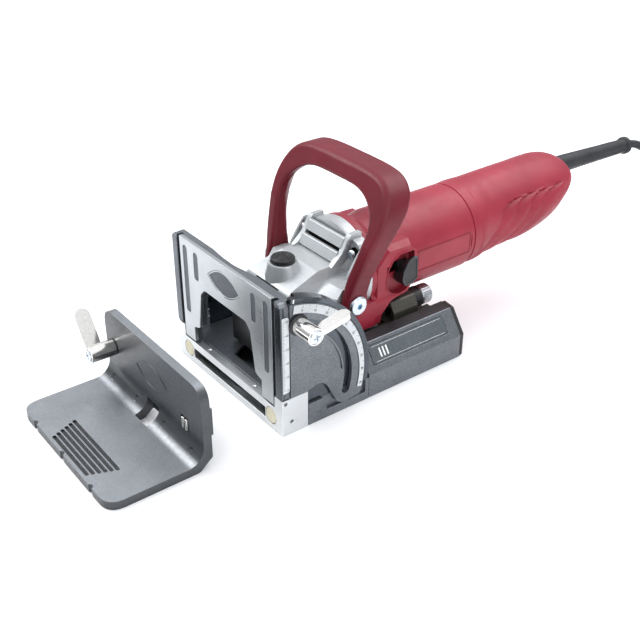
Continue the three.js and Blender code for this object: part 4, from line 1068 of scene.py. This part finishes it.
def make_handle():
    """bow handle: rounded sections from the right leg over the top to the left leg"""
    # outer and inner line, each as (half width, height)
    pairs = [((48.7, 58.0), (41.2, 58.0)), ((48.9, 63), (40.7, 63)), ((49.0, 72), (40.7, 72)),
             ((50.6, 80), (41.0, 80)), ((52.6, 88), (42.3, 88)), ((54.6, 96), (44.0, 96)),
             ((56.4, 105), (45.8, 105)), ((58.0, 113), (47.0, 112)), ((58.9, 121), (47.2, 119)),
             ((58.5, 129), (44.6, 126)), ((55.9, 136.8), (40.0, 131)), ((51.0, 143.5), (34.5, 134.8)),
             ((43.5, 148.2), (28.5, 137.2)), ((33.0, 150.4), (21.5, 138.6)), ((18.0, 151.3), (12.5, 139)),
             ((0, 151.4), (0, 139)), ]
    mirrored = [((-ox, oz), (-ix, iz)) for (ox, oz), (ix, iz) in reversed(pairs[:-1])]
    stations = pairs + mirrored
    outer = curve_through([Vector((*o, 0)) for o, _ in stations], 6)
    inner = curve_through([Vector((*i, 0)) for _, i in stations], 6)
    steps = 5
    rings = []
    for out, ins in zip(outer, inner):
        across = (out - ins).length
        leg_end = 1.0
        if ins.y < SCREW_Z:
            leg_end = math.sqrt(max(1 - ((SCREW_Z - ins.y) / 10.0) ** 2, 0.05))
        whole_half = handle_depth((out.y + ins.y) / 2, 0.5)[1]
        half = whole_half * leg_end
        radius = min(3.4, across * 0.42, half * 0.8)
        ring = []
        # corners in order: (share across, side in depth)
        far_u, far_v = across - radius, half - radius
        for centre_u, centre_v, start in ((far_u, far_v, 0), (radius, far_v, 90), (radius, -far_v, 180),
                                          (far_u, -far_v, 270)):
            for step in range(steps + 1):
                angle = math.radians(start + 90 * step / steps)
                u = centre_u + radius * math.cos(angle)
                v = centre_v + radius * math.sin(angle)
                flat = ins + (out - ins) * (u / across)
                middle, half_here = handle_depth(flat.y, u / across)
                ring.append(Vector((flat.x, middle + v * half_here / whole_half, flat.y)))
        rings.append(ring)
    bow = skin(rings)
    holes = [lathe("X", (0, SCREW_Y, SCREW_Z), [(s * 38, 3.3), (s * 52, 3.3)], 32) for s in (1, -1)]
    piece("bow_grip", cut(bow, *holes), BURGUNDY, "motor_unit", replaces="bow_handle", bevel=0.4, corner=38)
    for side, name in SIDES:
        shank = lathe("X", (0, SCREW_Y, SCREW_Z), [(side * 35, 3.0), (side * 49.4, 3.0)], 32)
        head = moved_mesh(screw_head("X", (49.3, 0, 0), 7.0, 2.6, "star", 1.7), shift(0, SCREW_Y, SCREW_Z))
        if side < 0:
            head = flipped(head)
        socket = lathe("X", (0, SCREW_Y, SCREW_Z), [(side * 50.2, 2.5), (side * 50.45, 2.5)], 24)
        piece("handle_screw_head_" + name, head, ZINC, "motor_unit", replaces="handle_screw_" + name,
              bevel=0.12)
        piece("handle_screw_shank_" + name, shank, STEEL, "motor_unit")
        piece("handle_screw_socket_" + name, socket, BLUE_ZINC, "motor_unit")


# height, then front, back at the inside and back at the outside of the bow handle
HANDLE_LINES = [
    (57, 63, 85, 85), (72, 66, 84, 84), (84, 69, 82.5, 85.5), (97, 73, 83.5, 90), (110, 77, 85, 97),
    (121, 82, 89.5, 104), (130, 86.5, 95.5, 110), (140, 91.5, 103, 115), (152, 97, 109, 118.5),
]


def handle_depth(height, share):
    """middle and half depth of the bow at a height; share runs from 0 inside to 1 outside"""
    low, high = HANDLE_LINES[-2:]
    for low, high in zip(HANDLE_LINES, HANDLE_LINES[1:]):
        if height <= high[0]:
            break
    t = min(max((height - low[0]) / (high[0] - low[0]), 0.0), 1.0)
    front, inner_back, outer_back = (a + t * (b - a) for a, b in zip(low[1:], high[1:]))
    back = inner_back + share * (outer_back - inner_back)
    return (front + back) / 2, (back - front) / 2


# edge of the recess round the switch, as (y, z)
RECESS = [(111.2, 66), (112.2, 74.5), (116, 80.8), (122.8, 84.4), (135.5, 84.4), (135.5, 62), (129, 54.5),
          (122, 53.6), (115, 56.5), (111.4, 61)]


def recess_outline(scale):
    middle_y, middle_z = 123.5, 69.0
    outline = [(middle_y + (y - middle_y) * scale, middle_z + (z - middle_z) * scale) for y, z in RECESS]
    return rounded(outline, [3, 4, 4, 3, 2, 4, 4, 4, 4, 3], 4)


def make_motor_housing():
    shell = lathe("Y", (0, 0, MOTOR_Z), [(98.3, 35.7), (98.8, 36), (103, 36), (104.5, 35.6), (107, 33.2),
            (111, 31.2), (116, 31.0), (121, 31.6), (126, MOTOR_R), (SEAM - 1.1, MOTOR_R),
            (SEAM - 0.6, 32.3), (SEAM, 32.2)], 120)
    cradle = prism("Y", rounded([(-36, 34), (36, 34), (38, 43), (38, 53), (33, 60), (-33, 60), (-38, 53),
                                 (-38, 43)], [2, 2, 2, 4, 4, 4, 4, 2], 4), 98.3, 126)
    side_cut = prism("X",
                     rounded([(98, 30), (106, 30), (106, 43), (113.5, 50.6), (125, 56.5), (125, 61),
                              (98, 61)], [0, 1, 2, 3, 2, 0, 0], 4), -40, 40)
    parts = [common(cradle, side_cut), block(-24, 24, 98.3, 117, 32.3, 45)]
    tools = [lathe("Y", (0, 0, MOTOR_Z), [(90, 29.7), (220, 29.7)], 96)]
    for side in (1, -1):
        lobe = prism("X", rounded([(77, 46), (80, 42), (84, 36), (100, 36), (100, 56), (80, 56)],
                                  [2, 2, 3, 0, 0, 3], 4), side * 30.5, side * 38)
        parts.append(lobe)
        # raised pod round the switch, with slanted faces
        pod = [(100, 45), (133, 50.5), (139.5, 60), (139.5, 82), (134, 92), (112, 92), (100, 80)]
        outer = [(y, z) for y, z in pod]
        inner = [(119 + (y - 119) * 0.86, 70 + (z - 70) * 0.88) for y, z in pod]
        rings = [[(side * 20, y, z) for y, z in outer], [(side * 31, y, z) for y, z in outer],
                 [(side * 36.2, y, z) for y, z in inner]]
        parts.append(skin(rings))
        tools.append(block(side * 32.05, side * 40, 142.5, 197.5, 60.8, 79.6))
        tools.append(prism("X", recess_outline(1.0), side * 31.2, side * 42))
        tools.append(lathe("Y", (0, 0, MOTOR_Z), [(76, 36.3), (98.3, 36.3)], 96))
    tools.append(block(28, 40, 111, 132.5, 69.5, 77.5))
    tools.append(block(25.2, 34.2, 76, 128, 30, 40.6))
    tools.append(block(-45, 45, 90, 98.3, 56, 120))
    housing = cut(join(shell, *parts), *tools)
    piece("motor_case_detailed", housing, RED, "motor_unit", replaces="motor_housing", bevel=0.35,
          corner=24)
    for side, name in SIDES:
        floor = prism("X", recess_outline(0.99), side * 30.6, side * 31.3)
        slit = block(side * 30, side * 40, 111, 132.5, 69.5, 77.5)
        piece("switch_recess_floor_" + name, cut(floor, slit), RED_INSET, "motor_unit")
        lip = raised_rim(recess_outline(1.08), recess_outline(1.0), side * 36.7, side * 35.8, "X")
        piece("switch_recess_lip_" + name, lip, RED, "motor_unit", bevel=0.3)
        bounds = ((144, 196, 62, 62.4), (144, 196, 78, 78.4), (144, 144.4, 62, 78.4),
                  (195.6, 196, 62, 78.4))
        frame_line = total([block(side * 32.0, side * 32.3, *bound) for bound in bounds])
        piece("panel_frame_line_" + name, frame_line, RED_INSET, "motor_unit")


def make_switch():
    """black paddle with a straight rear edge; a lighter rim frames its outer face"""
    corners = [(122.5, 61.6), (129, 62.4), (134, 65), (133.4, 82.4), (131, 83.4), (124.6, 80), (120.8, 74),
               (119.9, 66.5)]
    outline = rounded(corners, [3, 4, 2, 1.4, 2, 4, 5, 3], 5)

    def shrunk(x, share):
        return [(x, 127 + (y - 127) * share, 72.5 + (z - 72.5) * share) for y, z in outline]

    # the paddle's inner end is lower than its outer face
    foot = [(x, y, 62 + (z - 62) * 0.72) for x, y, z in shrunk(33.3, 1.0)]
    paddle = skin([foot, shrunk(41.9, 1.0), shrunk(42.5, 0.96)])
    stem = block(30, 34, 122.5, 131.5, 70, 77)
    piece("switch_paddle", paddle + stem, BLACK, "power_switch", replaces="switch_slider", corner=40)
    rim = skin([shrunk(42.2, 0.99), shrunk(42.9, 0.97), shrunk(43.0, 0.93), shrunk(42.9, 0.86),
                shrunk(42.2, 0.85)], loop=True)
    piece("switch_rim", rim, GREY_RUBBER, "power_switch", corner=50)


# distance back, half width, height above and depth below the motor's axis
GRIP_SECTIONS = [(201.3, 32.7, 32.7, 32.7), (210, 32.4, 32.8, 31.8), (220, 31.5, 33, 30.5),
                 (232, 30.7, 33.4, 29.6), (245, 30.2, 33.8, 28.8), (260, 30, 34, 28.5), (275, 29.8, 34, 27),
                 (288, 29.5, 34.2, 23.5), (298, 29, 34, 18.5), (304.5, 28, 33.5, 12.5),
                 (311.5, 26, 32.3, 6), (316.5, 23.5, 30.5, 0), (318.8, 21.5, 29.3, -3),
                 (319.8, 19, 27.5, -5.5), ]
# one finger groove's edge: (distance back from where the line crosses mid-height, height above it)
GROOVE_LINE = [(-30, -30), (-22, -20), (-14, -12), (-7, -6), (0, 0), (5, 7), (9, 13), (16, 17), (28, 19.5),
               (42, 21)]


def groove_offset(height):
    """how far back a groove's edge lies at a height"""
    for (y0, z0), (y1, z1) in zip(GROOVE_LINE, GROOVE_LINE[1:]):
        if height <= z1:
            return y0 + (y1 - y0) * (height - z0) / (z1 - z0)
    return GROOVE_LINE[-1][0]


def finger_grooves(y, height, side):
    """inward step of the grip's flank: four overlapping scales, deepest behind each edge"""
    if height > 21.5:
        return 0.0
    depth = 0.0
    for start in (225.0, 240.0, 257.0, 271.5):
        behind = y - (start + groove_offset(height))
        if behind > -1.0:
            scale = smooth_step(behind, -0.8, 0.6) * (1 - smooth_step(behind, 1.0, 15.0))
            depth = max(depth, scale)
    fade = 1 - smooth_step(height, 17.5, 21.5)
    flank = smooth_step(side, 0.0, 8.0)
    end = 1 - smooth_step(y, 302, 316)
    return 2.6 * depth * fade * flank * end


def make_rear_grip():
    sides = 144
    rows = []
    lines = curve_through([Vector((w, top, bottom)) for _, w, top, bottom in GRIP_SECTIONS], 13)
    depths = curve_through([Vector((y, 0, 0)) for y, *_ in GRIP_SECTIONS], 13)
    for shape, at in zip(lines, depths):
        y = at.x
        centre, half_height = (shape.y - shape.z) / 2, (shape.y + shape.z) / 2
        row = []
        for i in range(sides):
            angle = 2 * math.pi * i / sides
            up = math.sin(angle)
            height = centre + half_height * up
            across = shape.x * math.cos(angle)
            dent = finger_grooves(y, height, abs(across))
            # soft crescent swell behind the seam
            swell = 0.5 * smooth_step(y, 208.5, 210.5) * (1 - smooth_step(y, 212 + 4 * abs(up), 219 + 9
                    * abs(up)))
            factor = 1 + (swell * smooth_step(abs(across), 2, 20) - dent) / 31.0
            row.append(Vector((across * factor, y, MOTOR_Z + centre + (height - centre) * factor)))
        rows.append(row)
    edge = [Vector((p.x * 0.985, SEAM + 0.1, MOTOR_Z + (p.z - MOTOR_Z) * 0.985)) for p in rows[0]]
    outer = skin([edge] + rows)
    inside = []
    for row in (rows[0], rows[26], rows[52], rows[78], rows[104], rows[117]):
        middle = sum(row, Vector()) / len(row)
        inside.append([Vector((middle.x + (p.x - middle.x) * 0.88, p.y, middle.z + (p.z - middle.z) * 0.88))
                       for p in row])
    inside[0] = [Vector((p.x, SEAM - 3, p.z)) for p in inside[0]]
    bore = lathe("Y", (0, 0, 89.8), [(300, 7.7), (330, 7.7)], 40)
    piece("rear_grip_detailed", cut(outer, skin(inside), bore), RED, "motor_unit", replaces="rear_grip",
          corner=35)
    seam = lathe("Y", (0, 0, MOTOR_Z), [(SEAM - 0.4, 30.2), (SEAM + 0.4, 30.2), (SEAM + 0.4, 32.15),
                                        (SEAM - 0.4, 32.15)], 96, loop=True)
    piece("housing_seam", seam, RED_INSET, "motor_unit")


def make_spindle_button():
    profile = [(83.4, 8.5), (90.6, 8.5), (91.5, 7.7), (91.2, 6.9), (90.7, 6.6), (90.7, 5.6), (91.3, 5.3),
               (91.3, 4.5), (90.7, 4.2), (90.7, 3.2), (91.4, 2.9), (91.4, 1.0)]
    cap = lathe("Z", (0, 48, 0), rounded(profile, 0.35, 3, closed=False), 72)
    pin = lathe("Z", (0, 42, 0), [(70.4, 2.2), (84, 2.2)], 24)
    piece("spindle_button_ribbed", cap + pin, BLACK, "spindle_lock", replaces="spindle_lock_button",
          corner=40)


def make_carriage():
    piece("carriage_bevelled", cad_mesh("slide_carriage"), OLIVE, "motor_unit", replaces="slide_carriage",
          bevel=0.5)
    # cover over the depth drum, open below for the stop screw
    outline = rounded([(15.5, 32), (37.5, 32), (37.5, 38.5), (33, 46), (19, 46), (15.5, 42)],
                      [0, 0, 2, 3, 3, 2], 4)
    bore = lathe("Y", (DRUM_X, 0, DRUM_Z), [(126, 8.6), (143, 8.6)], 48)
    cover = cut(prism("Y", outline, 118, 141), bore, block(25, 34.4, 100, 128, 30, 41.2))
    piece("drum_cover", cover, OLIVE, "motor_unit", bevel=0.5)


def make_depth_stop():
    drum = lathe("Y", (DRUM_X, 0, DRUM_Z),
                 rounded([(133, 3), (133, 8), (138, 8), (138, 7.6), (139, 7.6), (139, 8), (150.7, 8),
                          (150.7, 3)], 0.2, 2), 64, loop=True)
    steps = []
    for i in range(1, 6):
        lug = block(DRUM_X + 3.2, DRUM_X + 6.4, 133 - i * 1.1, 133.4, DRUM_Z - 1.9, DRUM_Z + 1.9)
        steps.append(lug.turned("Y", i * 60, (DRUM_X, 0, DRUM_Z)))
    piece("depth_drum_turned", drum + total(steps), BLACK, "depth_drum", replaces="depth_drum", bevel=0.15)
    ring = [(151, 6.6), (151.5, 7.2), (152.2, 7.6), (159.9, 7.6), (160.6, 7.1), (161, 6.4)]
    knurls, sides = 30, 120
    rows = []
    for y, radius in curve_rows(ring, 3):
        row = []
        for i in range(sides):
            angle = 2 * math.pi * i / sides
            ridge = 0.22 * (0.5 + 0.5 * math.cos(angle * knurls)) * smooth_step(y, 151.8, 152.4) \
                * (1 - smooth_step(y, 159.6, 160.3))
            row.append((DRUM_X + (radius - ridge) * math.cos(angle), y, DRUM_Z + (radius - ridge)
                        * math.sin(angle)))
        rows.append(row)
    knob = skin(rows)
    stem = lathe("Y", (DRUM_X, 0, DRUM_Z), [(135, 2.75), (151.5, 2.75)], 32)
    piece("adjusting_ring_knurled", knob + stem, STEEL, "adjusting_ring", replaces="adjusting_ring",
          corner=40)


def curve_rows(profile, steps):
    """(along, radius) pairs with steps more between each two"""
    rows = []
    for (y0, r0), (y1, r1) in zip(profile, profile[1:]):
        rows += [(y0 + (y1 - y0) * k / steps, r0 + (r1 - r0) * k / steps) for k in range(steps)]
    return rows + [profile[-1]]


def dress_inside():
    """drive parts, seen through the front window, the vents and in the section"""
    for node in ("stator", "spindle_bearing", "armature_bearing_front", "armature_bearing_rear",
                 "bevel_gear", "spindle", "cutter_disc", "pinion"):
        dress(node, STEEL)
    for node in ("brush_holder_right", "brush_holder_left", "cooling_fan"):
        dress(node, BLACK)
    dress("armature", COPPER)


# ---------------------------------------------------------------- stop square

def make_stop_square():
    half = 63.0
    side = rounded([(-125, 0), (-62, 0), (-52, 8), (-52, 60)], [0, 3, 3, 0], 5) + [(-58, 60)]
    fillet = [(-70 + 12 * math.cos(math.radians(a)), 18 + 12 * math.sin(math.radians(a)))
              for a in range(0, -91, -6)]
    side += fillet + [(-125, 6)]
    plan = rounded([(-half, -50), (-half, -125), (half, -125), (half, -50)], [0, 12, 12, 0], 8)
    face = rounded([(-half, -1), (half, -1), (half, 60), (-half, 60)], [0, 0, 12, 12], 8)
    body = common(prism("X", side, -half, half), prism("Z", plan, -1, 70), prism("Y", face, -130, -40))
    tools = []
    for x in (-40, 0, 40):
        tools.append(lathe("Z", (x, -125.4, 0), [(-1, 2.3), (8, 2.3)], 32))
    floors = []
    for i in range(6):
        y = -104 - 3.5 * i
        start, end = -27 + 1.5 * i, 37 - 1.4 * i
        outline = [(v, u) for u, v in slot_outline(y, start, end, 1.25, 6)]
        tools.append(prism("Z", outline, 4.6, 8))
        floors.append(prism("Z", [(v, u) for u, v in slot_outline(y, start + 0.2, end - 0.2, 1.1, 6)], 4.4,
                            4.7))
    tools.append(prism("Z", rounded([(-8, -69), (8, -69), (8, -54.6), (-8, -54.6)], 1.2, 4), -1, 16))
    tools.append(prism("Y", rounded([(36.5, 18), (45.5, 18), (45.5, 29), (36.5, 29)], 1.6, 4), -59, -56.8))
    tools.append(lathe("Y", (-52.8, 0, 33), [(-60, 3.3), (-50, 3.3)], 40))
    # shallow dimples along the inner fillet
    for x in (-52, -19, 17, 51):
        dimple = lathe("Z", (0, 0, 0), [(-0.7, 1.6), (0.2, 2.6), (5, 2.6)], 32)
        tools.append(dimple.turned("X", 45).moved(x, -61.5, 9.5))
    jaw = block(56.1, 57.6, -52.5, -47.5, 20, 40)
    square = join(cut(body, *tools), jaw)
    piece("square_casting", square, SQUARE_COAT_PAINTED_LIGHT, "stop_square", replaces="stop_square", bevel=0.55,
          segments=3, corner=28)
    piece("square_groove_floors", total(floors), RUBBER, "stop_square")
    rim = raised_rim(lens_outline(0, 37, 20, 9), lens_outline(0, 37, 19.2, 8.5), -58.35, -57.9)
    piece("square_relief", rim, SQUARE_COAT_PAINTED_LIGHT, "stop_square", bevel=0.1)
    indicator = [lathe("Z", (x, -57.7, 0), [(19.0, 0.9), (19.4, 1.2), (27.2, 1.2), (27.6, 0.9)], 24)
                 for x in (38.8, 42.8)]
    piece("square_indicator", total(indicator), CHROME, "stop_square", bevel=0.2)
    piece("clamp_jaw_bevelled", cad_mesh("clamp_jaw"), STEEL, "stop_square", replaces="clamp_jaw",
          bevel=0.2)


def make_square_lever():
    turn = Matrix.Rotation(math.radians(-90 - 34), 4, "Y") @ Matrix.Rotation(math.radians(-90), 4, "Z")
    move = shift(-52.8, 0, 33) @ turn
    lever = moved_mesh(make_lever(58.3, 78, 66.3, 32), move)
    piece("square_lever_polished", lever, CHROME, "square_lever", replaces="stop_square_lever", bevel=0.8,
          segments=4)
    stem = moved_mesh(mesh_of(lathe("X", (0, 0, 0), [(52.2, 3), (59, 3)], 32)), move)
    piece("square_lever_stem", stem, STEEL, "square_lever")
    screw = moved_mesh(screw_head("X", (76.3, 0, 0), 4.7, 1.6, "cross", 1.1), move)
    piece("square_lever_screw", screw, ZINC, "square_lever", bevel=0.08)


# ---------------------------------------------------------------- scene

def make_floor():
    """pale studio sheet under the object"""
    recipe = Recipe("studio_sheet")
    recipe.colour(recipe.shades(recipe.noise(120, 3), [(0.2, 0xF4F4F5), (0.8, 0xF8F8F8)]))
    recipe.roughness(recipe.spread(recipe.noise(60, 2), 0.75, 0.85))
    mesh = bpy.data.meshes.new("floor")
    reach, below = 6.0, -0.0003
    mesh.from_pydata([(-reach, -reach, below), (reach, -reach, below), (reach, reach, below),
                      (-reach, reach, below)], [], [[0, 1, 2, 3]])
    mesh.materials.append(recipe.material)
    floor = bpy.data.objects.new("floor", mesh)
    bpy.context.scene.collection.objects.link(floor)


make_camera()
make_mains_lead()
make_floor()
make_lights()
make_front_frame()
make_base_casting()
make_rails()
make_dust_nozzle()
make_base_hardware()
make_face_plate()
make_badge()
make_swivel_frame()
make_sectors()
make_scales()
make_clamp_lever()
make_gear_housing()
make_handle()
make_motor_housing()
make_switch()
make_rear_grip()
make_spindle_button()
make_carriage()
make_depth_stop()
dress_inside()
make_stop_square()
make_square_lever()
